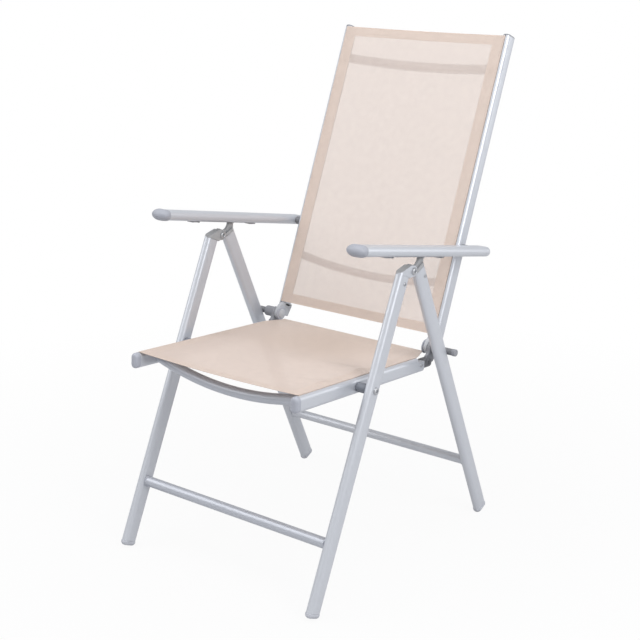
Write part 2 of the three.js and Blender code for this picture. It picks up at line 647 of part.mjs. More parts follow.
// Back frame and sling
function buildBack() {
  const front = BACK_OFFSET - RAIL_DEPTH / 2;
  const armBore = boltHole(BACK_OFFSET, ARM_PIVOT_HEIGHT, railInner - PAST, railOuter + PAST);
  const tube = ovalTube(RAIL_WIDTH, RAIL_DEPTH, RAIL_PLANE, BACK_OFFSET, BACK_RAIL_BOTTOM, BACK_RAIL_TOP);
  const groove = grooveCutter(RAIL_DEPTH / 2, BACK_RAIL_BOTTOM - PAST, BACK_RAIL_TOP + PAST);
  groove.rotateX(Math.PI / 2).translate(0, BACK_OFFSET, 0);
  addPair(back, 'back_rail', cut(tube, groove, armBore), silver);

  // Top caps
  const plugFront = front + grooveDepth + FIT;
  const topEnd = BACK_RAIL_TOP + BACK_CAP_LENGTH;
  const topFace = BACK_RAIL_TOP + FIT;
  const room = block(0, 2 * RAIL_PLANE, plugFront, BACK_OFFSET + RAIL_DEPTH, 0, topEnd);
  const dome = domedEnd(RAIL_WIDTH, RAIL_DEPTH, RAIL_PLANE, BACK_OFFSET, topFace, topEnd, BACK_CAP_ROUND);
  const topPlug = railPlug(BACK_OFFSET, BACK_RAIL_TOP - PLUG_LENGTH, topFace + PAST, room);
  addPair(back, 'back_top_cap', join(dome, topPlug), plasticDark);

  // Bottom brackets: a plug in the rail and, on the inner half, a lug down to the hinge rod
  const capTop = BACK_RAIL_BOTTOM - FIT;
  const outline = new THREE.Shape();
  outline.moveTo(front, capTop);
  outline.quadraticCurveTo(BRACKET_ROUND - EYE_RADIUS, capTop - BRACKET_COLLAR, -EYE_RADIUS, 0);
  outline.absarc(0, 0, EYE_RADIUS, Math.PI, Math.PI * 1.75, false);
  const rear = BACK_OFFSET + RAIL_DEPTH / 2;
  outline.quadraticCurveTo(rear, BRACKET_HEEL, rear, capTop - BRACKET_ROUND);
  outline.lineTo(rear, capTop);
  outline.closePath();
  const lug = plate(outline, railInner, RAIL_PLANE - FIT);
  const collar = ovalBar(RAIL_WIDTH, RAIL_DEPTH, RAIL_PLANE, BACK_OFFSET, capTop - BRACKET_COLLAR, capTop);
  const eyeRoom = pin(EYE_RADIUS + 2 * RUN, RAIL_PLANE - FIT, railOuter + PAST, 0, 0, 2 * SIDES);
  const bottomPlug = railPlug(BACK_OFFSET, capTop - PAST, BACK_RAIL_BOTTOM + PLUG_LENGTH, room);
  const rodBore = pin(ROD_RADIUS + RUN, railInner - PAST, railOuter + PAST, 0, 0);
  const bracket = cut(join(cut(collar, eyeRoom), lug, bottomPlug), rodBore);
  addPair(back, 'back_bracket', bracket, plasticGrey);

  const upperHeight = BACK_RAIL_TOP - UPPER_BAR_DROP;
  const upper = bowedTube(BACK_BAR_RADIUS, BACK_OFFSET, upperHeight, UPPER_BAR_DIP, BACK_BAR_BOW);
  add(back, 'back_upper_bar', upper, silver);
  const lower = bowedTube(BACK_BAR_RADIUS, BACK_OFFSET, LOWER_BAR_HEIGHT, LOWER_BAR_DIP, BACK_BAR_BOW);
  add(back, 'back_lower_bar', lower, silver);
  const band = slingBand(BACK_RAIL_BOTTOM + BACK_SLING_INSET, BACK_RAIL_TOP - BACK_SLING_INSET);
  const turn = new THREE.Matrix4().makeScale(-1, -1, 1);
  add(back, 'back_sling', band.applyMatrix4(turn).translate(0, front, 0), slingCloth);
}

// Armrest pivots on the back rails
function buildArmPivots() {
  const armInner = LEG_PLANE - ARM_WIDTH / 2;
  const nutFrom = armInner + ARM_NUT_INSET;
  const shank = BOLT_RADIUS - RUN;
  const pivot = turned([
    [railInner - FIT - BOLT_HEAD_LENGTH, 0],
    [railInner - FIT - BOLT_HEAD_LENGTH, BOLT_HEAD_RADIUS * 0.8],
    [railInner - FIT, BOLT_HEAD_RADIUS],
    [railInner - FIT, shank],
    [nutFrom, shank],
    [nutFrom, NUT_RADIUS],
    [nutFrom + BOLT_HEAD_LENGTH, NUT_RADIUS],
    [nutFrom + BOLT_HEAD_LENGTH, 0],
  ], 0, 0);
  addPair(armPivots, 'arm_pivot_bolt', pivot, steel);
  const bush = ring(BUSH_RADIUS, BOLT_RADIUS, railOuter + FIT, armInner - FIT, 0, 0);
  addPair(armPivots, 'arm_pivot_bush', bush, plasticDark);
}

// Armrests: a flat tube with a bulbed front cap, a rear cap and the notched rack underneath
function buildArmrests() {
  const slotHalf = LOCK_PIN_LENGTH / 2 + RUN + RACK_CHEEK;
  const underside = -ARM_HEIGHT / 2;
  const bore = boltHole(0, 0, LEG_PLANE - ARM_WIDTH, LEG_PLANE - ARM_WIDTH / 4);
  const slot = block(
    LEG_PLANE - slotHalf - FIT,
    LEG_PLANE + slotHalf + FIT,
    -RACK_FRONT - FIT,
    -RACK_REAR + FIT,
    -ARM_HEIGHT,
    0,
  );
  const tube = layDown(ovalTube(ARM_WIDTH, ARM_HEIGHT, LEG_PLANE, 0, -ARM_TUBE_FRONT, ARM_TUBE_REAR));
  addPair(armrests, 'armrest', cut(tube, slot, bore), silver);

  const lip = 2 * ARM_FRONT_CAP_LIP;
  const tubeFront = -ARM_TUBE_FRONT;
  const tip = tubeFront - ARM_FRONT_CAP_LENGTH;
  const bulbWidth = ARM_WIDTH + lip;
  const bulbHeight = ARM_HEIGHT + lip;
  const bulb = domedBar(bulbWidth, bulbHeight, LEG_PLANE, 0, tip, tubeFront - FIT, ARM_FRONT_CAP_ROUND);
  const frontPlug = tubePlug(
    ARM_WIDTH,
    ARM_HEIGHT,
    LEG_PLANE,
    0,
    tubeFront - ARM_PLUG_LAP,
    tubeFront + PLUG_LENGTH,
  );
  addPair(armrests, 'armrest_front_cap', layDown(join(bulb, frontPlug)), plasticGrey);

  const rearEnd = ARM_TUBE_REAR + ARM_REAR_CAP_LENGTH;
  const rearFace = ARM_TUBE_REAR + FIT;
  const dome = domedEnd(ARM_WIDTH, ARM_HEIGHT, LEG_PLANE, 0, rearFace, rearEnd, ARM_REAR_CAP_ROUND);
  const rearPlug = tubePlug(
    ARM_WIDTH,
    ARM_HEIGHT,
    LEG_PLANE,
    0,
    ARM_TUBE_REAR - ARM_REAR_PLUG,
    rearFace + PAST,
  );
  addPair(armrests, 'armrest_rear_cap', layDown(join(dome, rearPlug)), silver);

  // Rack: an inverted channel let into the tube, with a screwed tab at each end.
  // The notches along its ceiling are set out from the pin's place
  const crest = -LOCK_PIN_BELOW + LOCK_PIN_RADIUS + RUN;
  const ceiling = new THREE.Shape();
  ceiling.moveTo(-RACK_FRONT, RACK_TOP);
  ceiling.lineTo(-RACK_FRONT, crest);
  const rackEnd = RACK_WALL + NOTCH_RADIUS;
  const notchesAhead = Math.floor((RACK_FRONT - rackEnd - pinAlong) / NOTCH_PITCH);
  const notchesBehind = Math.floor((pinAlong - RACK_REAR - rackEnd) / NOTCH_PITCH);
  for (let i = -notchesAhead; i <= notchesBehind; i += 1) {
    const middle = i * NOTCH_PITCH - pinAlong;
    ceiling.lineTo(middle - NOTCH_RADIUS, crest);
    ceiling.absarc(middle, crest, NOTCH_RADIUS, Math.PI, 0, true);
  }
  ceiling.lineTo(-RACK_REAR, crest);
  ceiling.lineTo(-RACK_REAR, RACK_TOP);
  ceiling.closePath();
  const channel = LOCK_PIN_LENGTH / 2 + RUN;
  const cheek = (from, to) =>
    block(LEG_PLANE + from, LEG_PLANE + to, -RACK_FRONT, -RACK_REAR, -RACK_DROP, RACK_TOP);
  const tabTop = underside - FIT;
  const tabBottom = tabTop - RACK_TAB_THICKNESS;
  const tabWidth = ARM_WIDTH - ARM_HEIGHT;
  const frontTab = block(
    LEG_PLANE - tabWidth / 2,
    LEG_PLANE + tabWidth / 2,
    -RACK_FRONT - RACK_TAB,
    -RACK_FRONT + RACK_WALL,
    tabBottom,
    tabTop,
  );
  const rearTab = block(
    LEG_PLANE - tabWidth / 2,
    LEG_PLANE + tabWidth / 2,
    -RACK_REAR - RACK_WALL,
    -RACK_REAR + RACK_TAB,
    tabBottom,
    tabTop,
  );
  const endWall = (from) =>
    block(LEG_PLANE - slotHalf, LEG_PLANE + slotHalf, from, from + RACK_WALL, tabBottom, RACK_TOP);
  const hornHalf = TONGUE / 2 + HORN_ROOM;
  const hornTop = -LOCK_PIN_BELOW + HORN_TIP + 2 * RUN;
  const hornRoom = block(
    LEG_PLANE - hornHalf,
    LEG_PLANE + hornHalf,
    -RACK_FRONT + RACK_WALL,
    -RACK_REAR - RACK_WALL,
    -2 * RACK_DROP,
    hornTop,
  );
  const solidRack = join(
    plate(ceiling, LEG_PLANE - slotHalf, LEG_PLANE + slotHalf, NOTCH_ROUND),
    cheek(-slotHalf, -channel),
    cheek(channel, slotHalf),
    endWall(-RACK_FRONT),
    endWall(-RACK_REAR - RACK_WALL),
    frontTab,
    rearTab,
  );
  const rack = cut(solidRack, hornRoom);
  addPair(armrests, 'armrest_rack', rack, plasticDark);
}

buildFrontLegs();
buildRearLegs();
buildSeat();
buildRods();
buildBack();
buildArmPivots();
buildArmrests();

// The middle of the chair's depth goes to the origin
chair.updateMatrixWorld(true);
const bounds = new THREE.Box3().setFromObject(chair, true);
chair.position.y = -(bounds.min.y + bounds.max.y) / 2;

export default chair;
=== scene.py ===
import json
import math

import bpy
import numpy as np
from mathutils import Matrix


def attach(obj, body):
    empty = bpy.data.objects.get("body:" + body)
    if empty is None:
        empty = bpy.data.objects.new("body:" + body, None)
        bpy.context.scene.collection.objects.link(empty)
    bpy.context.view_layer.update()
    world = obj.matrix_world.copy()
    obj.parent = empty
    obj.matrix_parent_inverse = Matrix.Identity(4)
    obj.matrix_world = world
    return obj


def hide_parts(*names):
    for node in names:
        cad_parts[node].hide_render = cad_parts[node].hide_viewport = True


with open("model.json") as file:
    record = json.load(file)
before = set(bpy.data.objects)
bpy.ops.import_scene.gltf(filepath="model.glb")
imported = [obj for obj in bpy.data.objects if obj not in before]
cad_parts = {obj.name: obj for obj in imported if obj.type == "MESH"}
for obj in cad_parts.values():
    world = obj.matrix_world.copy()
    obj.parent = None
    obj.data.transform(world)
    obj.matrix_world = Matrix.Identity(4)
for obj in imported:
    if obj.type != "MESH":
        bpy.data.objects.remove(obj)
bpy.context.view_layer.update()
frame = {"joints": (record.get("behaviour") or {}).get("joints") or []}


# Front leg tubes
# Two flat-oval steel tubes with a silver powder coat, cut square at both ends.
# They lean back to the leg hinge and stand outside the seat and the back.
SIDES = {"left": 1, "right": -1}
LEG_PLANE = 0.250
LEG_WIDTH = 0.018
LEG_DEPTH = 0.034
FRONT_LEAN = -25.0
FRONT_AXIS = -0.0225
FRONT_TUBE_TOP = -0.016
FOOT_HEIGHT = 0.014
FIT = 0.0003
POINT = 1e-4
SHARP_ANGLE = 38
BROAD_CELLS = 14
RELIEF_DEPTH = 0.0003
pivot = {joint["name"]: np.array(joint["pos_m"]) for joint in frame["joints"]}
hinge = pivot["leg_fold"]
stance = {"front_legs": (hinge, FRONT_LEAN)}


def stand(points, place, slope):
    """Turns points about the chair's cross axis by a slope in degrees, then moves them to a pivot's
    place."""
    turn = math.radians(slope)
    y = points[..., 1] * math.cos(turn) - points[..., 2] * math.sin(turn)
    z = points[..., 1] * math.sin(turn) + points[..., 2] * math.cos(turn)
    return np.stack([points[..., 0], y + place[1], z + place[2]], axis=-1)


def oval_ring(width, depth, inset=0.0, steps=16):
    """Flat-oval outline as points (across, deep): two half circles of the narrow side's radius, one at
    each end of the long side, with straight sides between them. An inset draws the whole outline in
    evenly."""
    wide = max(width - 2 * inset, 2 * POINT)
    deep = max(depth - 2 * inset, 2 * POINT)
    radius = min(wide, deep) / 2
    turn = np.linspace(0, np.pi, steps)
    if deep >= wide:
        end = np.column_stack([radius * np.cos(turn), (deep - wide) / 2 + radius * np.sin(turn)])
    else:
        end = np.column_stack([(wide - deep) / 2 + radius * np.sin(turn), -radius * np.cos(turn)])
    return np.concatenate([end, -end])


def along_at(outline, along):
    """Outline points with their place along the piece as third value."""
    return np.column_stack([outline, np.full(len(outline), along)])


def oval_rings(width, depth, stations):
    """The flat-oval outline carried along its own axis: one outline for each (along, inset) station."""
    return np.stack([along_at(oval_ring(width, depth, inset), along) for along, inset in stations])


def quarter(radius, steps):
    """Quarter circle of a rounded rim: its run from 0 to the radius and its inset from the radius to 0."""
    turn = np.linspace(0, np.pi / 2, steps)
    return radius * (1 - np.cos(turn)), radius * (1 - np.sin(turn))


def rounded_end(tip, radius, way, steps=7):
    """Stations of an end that is rounded over: towards the tip the outline is drawn in on a quarter
    circle. The way is 1 where the tip lies further along, and -1 where it lies further back."""
    inset, short = quarter(radius, steps)
    return list(zip(tip - way * short, inset))


def shell(rings, loop):
    """A closed skin over a stack of outlines: four-sided faces join each outline to the next, and flat
    faces close the two ends unless the stack runs into itself. A skin of negative volume is turned
    round."""
    count, around = rings.shape[:2]
    index = np.arange(count * around).reshape(count, around)
    current = index if loop else index[:-1]
    following = np.roll(index, -1, axis=0) if loop else index[1:]
    corners = [current, np.roll(current, -1, axis=1), np.roll(following, -1, axis=1), following]
    quads = np.stack(corners, axis=-1).reshape(-1, 4)
    points = rings.reshape(-1, 3)
    ends = [] if loop else [index[0][::-1], index[-1]]
    fans = [np.column_stack([np.full(around - 2, end[0]), end[1:-1], end[2:]]) for end in ends]
    triangles = np.concatenate([quads[:, [0, 1, 2]], quads[:, [0, 2, 3]], *fans])
    a, b, c = (points[triangles[:, k]] for k in range(3))
    volume = np.einsum("ij,ij->", a - points.mean(axis=0), np.cross(b - a, c - a))
    faces = quads.tolist() + [end.tolist() for end in ends]
    if volume < 0:
        faces = [face[::-1] for face in faces]
    return points, faces


def piece(name, skins, material, body, nodes=(), sign=1, loop=False):
    """One object from stacks of outlines that are drawn in its body's own stance, shaded smooth but for
    its sharp edges and riding on the body. A sign of -1 makes the mirror image."""
    shells = [shell(stand(rings, *stance[body]) * [sign, 1, 1], loop) for rings in skins]
    points = np.concatenate([part[0] for part in shells])
    starts = np.cumsum([0] + [len(part[0]) for part in shells])
    faces = [[corner + start for corner in face] for start, part in zip(starts, shells) for face in part[1]]
    mesh = bpy.data.meshes.new(name)
    mesh.from_pydata(points.tolist(), [], faces)
    mesh.polygons.foreach_set("use_smooth", np.ones(len(mesh.polygons), dtype=bool))
    mesh.set_sharp_from_angle(angle=math.radians(SHARP_ANGLE))
    mesh.materials.append(material)
    made = bpy.data.objects.new(name, mesh)
    bpy.context.scene.collection.objects.link(made)
    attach(made, body)
    if nodes:
        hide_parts(*nodes)
    return made


def pair(name, skins, material, body, node=None, loop=False):
    """A piece on the left and its mirror image on the right. Skins are drawn for the left."""
    for side, sign in SIDES.items():
        nodes = [f"{node}_{side}"] if node else []
        piece(f"{name}_{side}", skins, material, body.format(side), nodes, sign, loop)


def wire(tree, node, inputs):
    """Gives each named input of a node its own number or colour, or a link from another node's output."""
    for name, value in inputs.items():
        if isinstance(value, bpy.types.NodeSocket):
            tree.links.new(value, node.inputs[name])
        else:
            node.inputs[name].default_value = value
    return node


def add_node(tree, kind, inputs, **settings):
    """Adds a node of a kind to a material, with its settings and its inputs."""
    made = tree.nodes.new(f"ShaderNode{kind}")
    for setting, value in settings.items():
        setattr(made, setting, value)
    return wire(tree, made, inputs)


def mixed_colour(tree, share, first, second, blend="MIX"):
    """Mixes two colours by a share and gives the result's output. The colour mix has inputs 0, 6 and
    7."""
    inputs = {0: share, 6: first, 7: second}
    return add_node(tree, "Mix", inputs, data_type="RGBA", blend_type=blend).outputs[2]


def new_material(name):
    """A material with nodes, its node tree and its surface shader."""
    material = bpy.data.materials.new(name)
    material.use_nodes = True
    return material, material.node_tree, material.node_tree.nodes["Principled BSDF"]


def finish(name, dark, light, cells, rough, relief, metallic=0.0):
    """Surface finish that wanders with noise on the piece's own place: fine noise, given in cells to a
    metre, mixes the two colours and lifts the relief, and broad noise moves the roughness between its two
    ends."""
    material, tree, surface = new_material(name)
    place = add_node(tree, "TexCoord", {}).outputs["Object"]
    fine = add_node(tree, "TexNoise", {"Vector": place, "Scale": cells, "Detail": 3}).outputs["Fac"]
    broad = add_node(tree, "TexNoise", {"Vector": place, "Scale": BROAD_CELLS}).outputs["Fac"]
    gloss = add_node(tree, "MapRange", {"Value": broad, "To Min": rough[0], "To Max": rough[1]})
    bump = add_node(tree, "Bump", {"Height": fine, "Strength": relief, "Distance": RELIEF_DEPTH})
    wire(tree, surface, {
        "Base Color": mixed_colour(tree, fine, (*dark, 1), (*light, 1)),
        "Roughness": gloss.outputs["Result"],
        "Normal": bump.outputs["Normal"],
        "Metallic": metallic,
    })
    return material


def coat(name, dark, light):
    """Satin powder coat with metal flakes in it."""
    return finish(name, dark, light, cells=2600, rough=(0.33, 0.43), relief=0.05, metallic=0.45)


def floor_reach(slope, deep):
    """Distance along a leg, measured from its hinge, at which a line of the tube meets the floor."""
    turn = math.radians(slope)
    return -(hinge[2] + deep * math.sin(turn)) / math.cos(turn)


def leg_tube(axis, low, high):
    """A straight flat-oval tube between two distances along a leg."""
    return oval_rings(LEG_WIDTH, LEG_DEPTH, [(low, 0), (high, 0)]) + [LEG_PLANE, axis, 0]


silver_coat = coat("silver_coat", (0.52, 0.54, 0.585), (0.61, 0.63, 0.675))
front_foot_end = floor_reach(FRONT_LEAN, FRONT_AXIS) + FOOT_HEIGHT
front_tube = leg_tube(FRONT_AXIS, front_foot_end, FRONT_TUBE_TOP)
pair("front_leg_tube", [front_tube], silver_coat, "front_legs", "front_leg")


# Feet
# Moulded pale grey plastic caps pushed on the leg ends, domed and set square to the tube.
# The corner that the chair stands on is worn flat by the floor.
FOOT_LIP = 0.0008
FOOT_ROUND = 0.008


def plastic(name, dark, light, rough=(0.44, 0.56)):
    """Moulded plastic with a fine grain."""
    return finish(name, dark, light, cells=1500, rough=rough, relief=0.12)


def foot_cap(axis, tube_end, slope):
    """Flat-oval cap that is drawn in on a quarter circle towards its end. Each point stops at the floor,
    which it meets at its own distance along the leaning leg, so the lowest corner becomes a small
    flat."""
    end = floor_reach(slope, axis) + FOOT_ROUND * math.tan(math.radians(abs(slope)))
    rim = rounded_end(tube_end - FIT, FOOT_LIP, 1, 4)[::-1]
    stations = rim + rounded_end(end, FOOT_ROUND, -1, 9)
    rings = oval_rings(LEG_WIDTH + 2 * FOOT_LIP, LEG_DEPTH + 2 * FOOT_LIP, stations)
    rings[..., 2] = np.maximum(rings[..., 2], floor_reach(slope, rings[..., 1] + axis))
    return rings + [LEG_PLANE, axis, 0]


pale_grey = plastic("pale_grey_plastic", (0.46, 0.475, 0.52), (0.54, 0.555, 0.605))
front_cap = foot_cap(FRONT_AXIS, front_foot_end, FRONT_LEAN)
pair("front_foot_cap", [front_cap], pale_grey, "front_legs", "front_foot")


# Front stretcher
# A round tube welded between the front legs low down, in a copy of their silver coat painted a shade darker
# as painted shade.
# A small bead of weld runs round each end.
FRONT_STRETCHER_RADIUS = 0.011
FRONT_STRETCHER_DROP = 0.553
BEAD_RADIUS = 0.0016
BEAD_RIPPLE = 0.16
BEAD_WAVES = 17
LEG_INNER = LEG_PLANE - LEG_WIDTH / 2


def turned_rings(profile, y=0.0, z=0.0, steps=32):
    """A profile of (across, radius) pairs spun about a line across the chair."""
    turn = np.linspace(0, 2 * np.pi, steps, endpoint=False)
    profile = np.array(profile)
    across = np.repeat(profile[:, :1], steps, axis=1)
    deep = profile[:, 1:] * np.cos(turn) + y
    high = profile[:, 1:] * np.sin(turn) + z
    return np.stack([across, deep, high], axis=-1)


def weld_bead(radius, y, z):
    """A bead of weld round a tube's end: a small circle spun about the tube, its radius rippled as a
    weld's is."""
    turn = np.linspace(0, 2 * np.pi, 8, endpoint=False)
    spin = np.linspace(0, 2 * np.pi, 48, endpoint=False)[:, None]
    swell = BEAD_RADIUS * (1 + BEAD_RIPPLE * np.sin(BEAD_WAVES * spin))
    reach = radius + swell * np.cos(turn)
    across = LEG_INNER - BEAD_RADIUS + swell * np.sin(turn)
    return np.stack([across, y + reach * np.cos(spin), z + reach * np.sin(spin)], axis=-1)


def stretcher(name, radius, axis, drop, body, material):
    """A straight round tube between the legs, and its two beads of weld."""
    reach = LEG_INNER - FIT
    tube = turned_rings([(-reach, radius), (reach, radius)], axis, -drop)
    piece(f"{name}_tube", [tube], material, body, [name])
    pair(f"{name}_weld", [weld_bead(radius, axis, -drop)], material, body, loop=True)


# Painted shade: a darker copy of the silver coat for the front stretcher and the seat bar, standing in for
# the shade on them.
bar_coat = coat("bar_coat", (0.44, 0.46, 0.51), (0.52, 0.54, 0.59))
front_bar = (FRONT_STRETCHER_RADIUS, FRONT_AXIS, FRONT_STRETCHER_DROP)
stretcher("front_stretcher", *front_bar, "front_legs", bar_coat)


# Leg-hinge knuckles and their bolts
# A moulded dark grey fitting plugs each front leg and holds the rear leg's tongue between two rounded
# cheeks. The tube's outer wall runs on over the outer cheek. A tubular rivet goes through all, and a
# hollow screw through the tube holds the plug.
LEG_OUTER = LEG_PLANE + LEG_WIDTH / 2
CHEEK_EYE = 0.0115
SLOT_EYE = 0.014
SLOT_HALF = 0.0038
STEP = 1e-5
KNUCKLE_EDGE = 0.0014
KNUCKLE_PLATE = 0.0012
KNUCKLE_NOSE = np.array([FRONT_AXIS - LEG_DEPTH / 2, -0.0125])
KNUCKLE_BROW = np.array([-0.0125, 0.0085])
KNUCKLE_CROWN = np.array([0.0, 0.0115])
BROW_OVER = 0.12
BROW_UNDER = 0.2
RIVET_HEAD = 0.0075
RIVET_LENGTH = 0.004
RIVET_SHANK = 0.0037
RIVET_ROLL = 0.62
RIVET_HOLLOW = ((0.97, 0.55), (0.86, 0.48), (0.62, 0.42), (-1.0, 0.40))
HOLLOW_END = 1.05
SCREW_HEAD = 0.004
SCREW_HEAD_LENGTH = 0.002
SCREW_SHANK = 0.0028
SCREW_REACH = 0.009
SOCKET_RADIUS = 0.0021
SOCKET_WALL = 0.0010
SOCKET_END = 0.0012
DOME_RIM = 0.0004
FRONT_SCREW = (FRONT_AXIS + 0.003, FRONT_TUBE_TOP - 0.015)


def arc(centre, radius, start, stop, steps=24):
    """Points (deep, high) on part of a circle, between two angles in degrees."""
    turn = np.radians(np.linspace(start, stop, steps))
    return np.column_stack([centre[0] + radius * np.cos(turn), centre[1] + radius * np.sin(turn)])


def bend(start, pull, end, steps=16):
    """Points on a parabola that leaves start towards pull and comes from pull to end."""
    share = np.linspace(0, 1, steps)[:, None]
    first = (1 - share) ** 2 * np.array(start)
    return first + 2 * share * (1 - share) * np.array(pull) + share ** 2 * np.array(end)


def evened(parts, steps=96):
    """One closed outline from its parts, with its points spread evenly along it."""
    outline = np.concatenate([np.atleast_2d(part) for part in parts])
    closed = np.concatenate([outline, outline[:1]])
    run = np.concatenate([[0], np.cumsum(np.linalg.norm(np.diff(closed, axis=0), axis=1))])
    place = np.linspace(0, run[-1], steps, endpoint=False)
    return np.column_stack([np.interp(place, run, closed[:, k]) for k in range(2)])


def drawn_in(outline, inset):
    """A counter-clockwise outline moved inwards by an even distance: each point goes along the sum of its
    two edges' inward normals, scaled so that both edges keep their distance."""
    edges = np.roll(outline, -1, axis=0) - outline
    edges = edges / np.linalg.norm(edges, axis=1, keepdims=True)
    inward = np.column_stack([-edges[:, 1], edges[:, 0]])
    both = inward + np.roll(inward, 1, axis=0)
    scale = np.maximum(np.einsum("ij,ij->i", both, both) / 2, 0.5)
    return outline + inset * both / scale[:, None]


def across_at(outline, across):
    """Outline points with their place across the chair as first value."""
    return np.column_stack([np.full(len(outline), across), outline])


def layers(outline, stations):
    """Outlines (deep, high) stacked across the chair, one for each (across, inset) station."""
    return np.stack([across_at(drawn_in(outline, inset), across) for across, inset in stations])


def rounded_faces(low, high, edge, steps=6):
    """Stations of a plate from low to high across the chair, with both its rims rounded over."""
    across, inset = quarter(edge, steps)
    return list(zip(low + across, inset)) + list(zip(high - across[::-1], inset[::-1]))


def knuckle_outline():
    """Side outline of the knuckle: flat on the tube, round at the bolt, and a slope from the crown to the
    nose."""
    foot = FRONT_TUBE_TOP + FIT
    over = KNUCKLE_BROW + BROW_OVER * (KNUCKLE_CROWN - KNUCKLE_BROW)
    under = KNUCKLE_BROW + BROW_UNDER * (KNUCKLE_NOSE - KNUCKLE_BROW)
    return evened([
        (KNUCKLE_NOSE[0], foot),
        (FRONT_AXIS + LEG_DEPTH / 2, foot),
        arc((0, 0), CHEEK_EYE, -90, 84),
        bend(over, KNUCKLE_BROW, under),
        KNUCKLE_NOSE,
    ], 128)


def round_nosed(rings):
    """Draws each layer's nose back so that none stands before the tube's own round front."""
    half = LEG_WIDTH / 2
    front = KNUCKLE_NOSE[0] + half - np.sqrt(np.maximum(half ** 2 - rings[..., 0] ** 2, 0))
    rings[..., 1] = np.maximum(rings[..., 1], front)
    return rings


def knuckle_rings():
    """The knuckle's side outline stacked across the leg. Between the cheeks each layer is cut back to a
    circle round the bolt, which leaves the tongue's slot."""
    half = LEG_WIDTH / 2
    rims = rounded_faces(-half, half - KNUCKLE_PLATE, KNUCKLE_EDGE)
    middle = len(rims) // 2
    lip = SLOT_HALF + STEP
    inside = [(across, 0.0) for across in (-lip, -SLOT_HALF, 0.0, SLOT_HALF, lip)]
    rings = round_nosed(layers(knuckle_outline(), rims[:middle] + inside + rims[middle:]))
    slot = -np.sqrt(np.maximum(SLOT_EYE ** 2 - rings[..., 2] ** 2, 0))
    cut_back = np.minimum(rings[..., 1], slot)
    rings[..., 1] = np.where(np.abs(rings[..., 0]) <= SLOT_HALF, cut_back, rings[..., 1])
    return rings + [LEG_PLANE, 0, 0]


def tube_nose():
    """The outer half of the tube's front, carried on over the knuckle: half of the flat-oval outline from
    the tube's end up to the line of the knuckle's slope, and no further back than the flat plate."""
    outline = oval_ring(LEG_WIDTH + 2 * FIT, LEG_DEPTH + 2 * FIT, 0, 25)
    outline[:, 0] = np.maximum(outline[:, 0], 0)
    outline[:, 1] = np.minimum(outline[:, 1] + FRONT_AXIS, KNUCKLE_NOSE[0] + LEG_WIDTH / 2 + KNUCKLE_PLATE)
    rise = (KNUCKLE_BROW[1] - KNUCKLE_NOSE[1]) / (KNUCKLE_BROW[0] - KNUCKLE_NOSE[0])
    top = KNUCKLE_NOSE[1] + rise * (outline[:, 1] - KNUCKLE_NOSE[0]) - KNUCKLE_EDGE
    heights = (FRONT_TUBE_TOP - FIT, np.maximum(top, FRONT_TUBE_TOP + FIT))
    return np.stack([along_at(outline, height) for height in heights]) + [LEG_PLANE, 0, 0]


def dome_profile(start, length, radius, steps=8):
    """Half of a flattened dome as (across, radius) pairs, from its rim at start out to its crown."""
    turn = np.linspace(0, np.pi / 2, steps)
    across = start + length * np.sin(turn)
    return list(zip(across, np.maximum(radius * np.cos(turn), POINT)))


def rivet_head(start, way):
    """Rolled head of a tubular rivet as (across, radius) pairs: it rises in a quarter circle from its
    rim, turns over a flat ring and goes down into its hollow middle."""
    turn = np.linspace(0, np.pi / 2, 7)
    rise = start + way * RIVET_LENGTH * np.sin(turn)
    reach = RIVET_HEAD * (RIVET_ROLL + (1 - RIVET_ROLL) * np.cos(turn))
    hollow = [(start + way * RIVET_LENGTH * depth, RIVET_HEAD * size) for depth, size in RIVET_HOLLOW]
    return list(zip(rise, reach)) + hollow + [(start - way * RIVET_LENGTH * HOLLOW_END, POINT)]


def through_rivet(inner, outer, y, z):
    """A tubular rivet across the chair: a rolled head at each end and a shank between, spun about its own
    line."""
    inside = rivet_head(inner - FIT, -1)[::-1]
    shank = [(inner - FIT, RIVET_SHANK), (outer + FIT, RIVET_SHANK)]
    return turned_rings(inside + shank + rivet_head(outer + FIT, 1), y, z)


def plug_screw(outer, y, z):
    """A hollow screw through a tube's outer wall: shank, low domed head and a deep round socket."""
    face = outer + FIT
    end = outer - SCREW_REACH
    profile = [(end, POINT), (end, SCREW_SHANK), (face, SCREW_SHANK), (face, SCREW_HEAD)]
    profile += dome_profile(face + DOME_RIM, SCREW_HEAD_LENGTH - DOME_RIM, SCREW_HEAD)[:5]
    profile += [(outer - SOCKET_WALL, SOCKET_RADIUS), (outer - SOCKET_END, POINT)]
    return turned_rings(profile, y, z, 20)


steel_grain = {"cells": 900, "rough": (0.40, 0.52), "relief": 0.04, "metallic": 0.9}
plated_steel = finish("plated_steel", (0.42, 0.43, 0.45), (0.55, 0.56, 0.58), **steel_grain)
knuckle_grey = plastic("knuckle_grey", (0.315, 0.32, 0.33), (0.38, 0.385, 0.395), (0.40, 0.52))
pair("knuckle", [knuckle_rings()], knuckle_grey, "front_legs", "front_knuckle")
plate_stations = rounded_faces(LEG_WIDTH / 2 - KNUCKLE_PLATE, LEG_WIDTH / 2, KNUCKLE_PLATE / 2)
knuckle_plate = round_nosed(layers(knuckle_outline(), plate_stations)) + [LEG_PLANE, 0, 0]
pair("knuckle_plate", [knuckle_plate, tube_nose()], silver_coat, "front_legs")
hinge_rivet = through_rivet(LEG_INNER, LEG_OUTER, 0, 0)
pair("hinge_rivet", [hinge_rivet], plated_steel, "front_legs", "leg_hinge_bolt")
front_screw = plug_screw(LEG_OUTER, *FRONT_SCREW)
pair("knuckle_screw", [front_screw], plated_steel, "front_legs", "front_knuckle_screw")


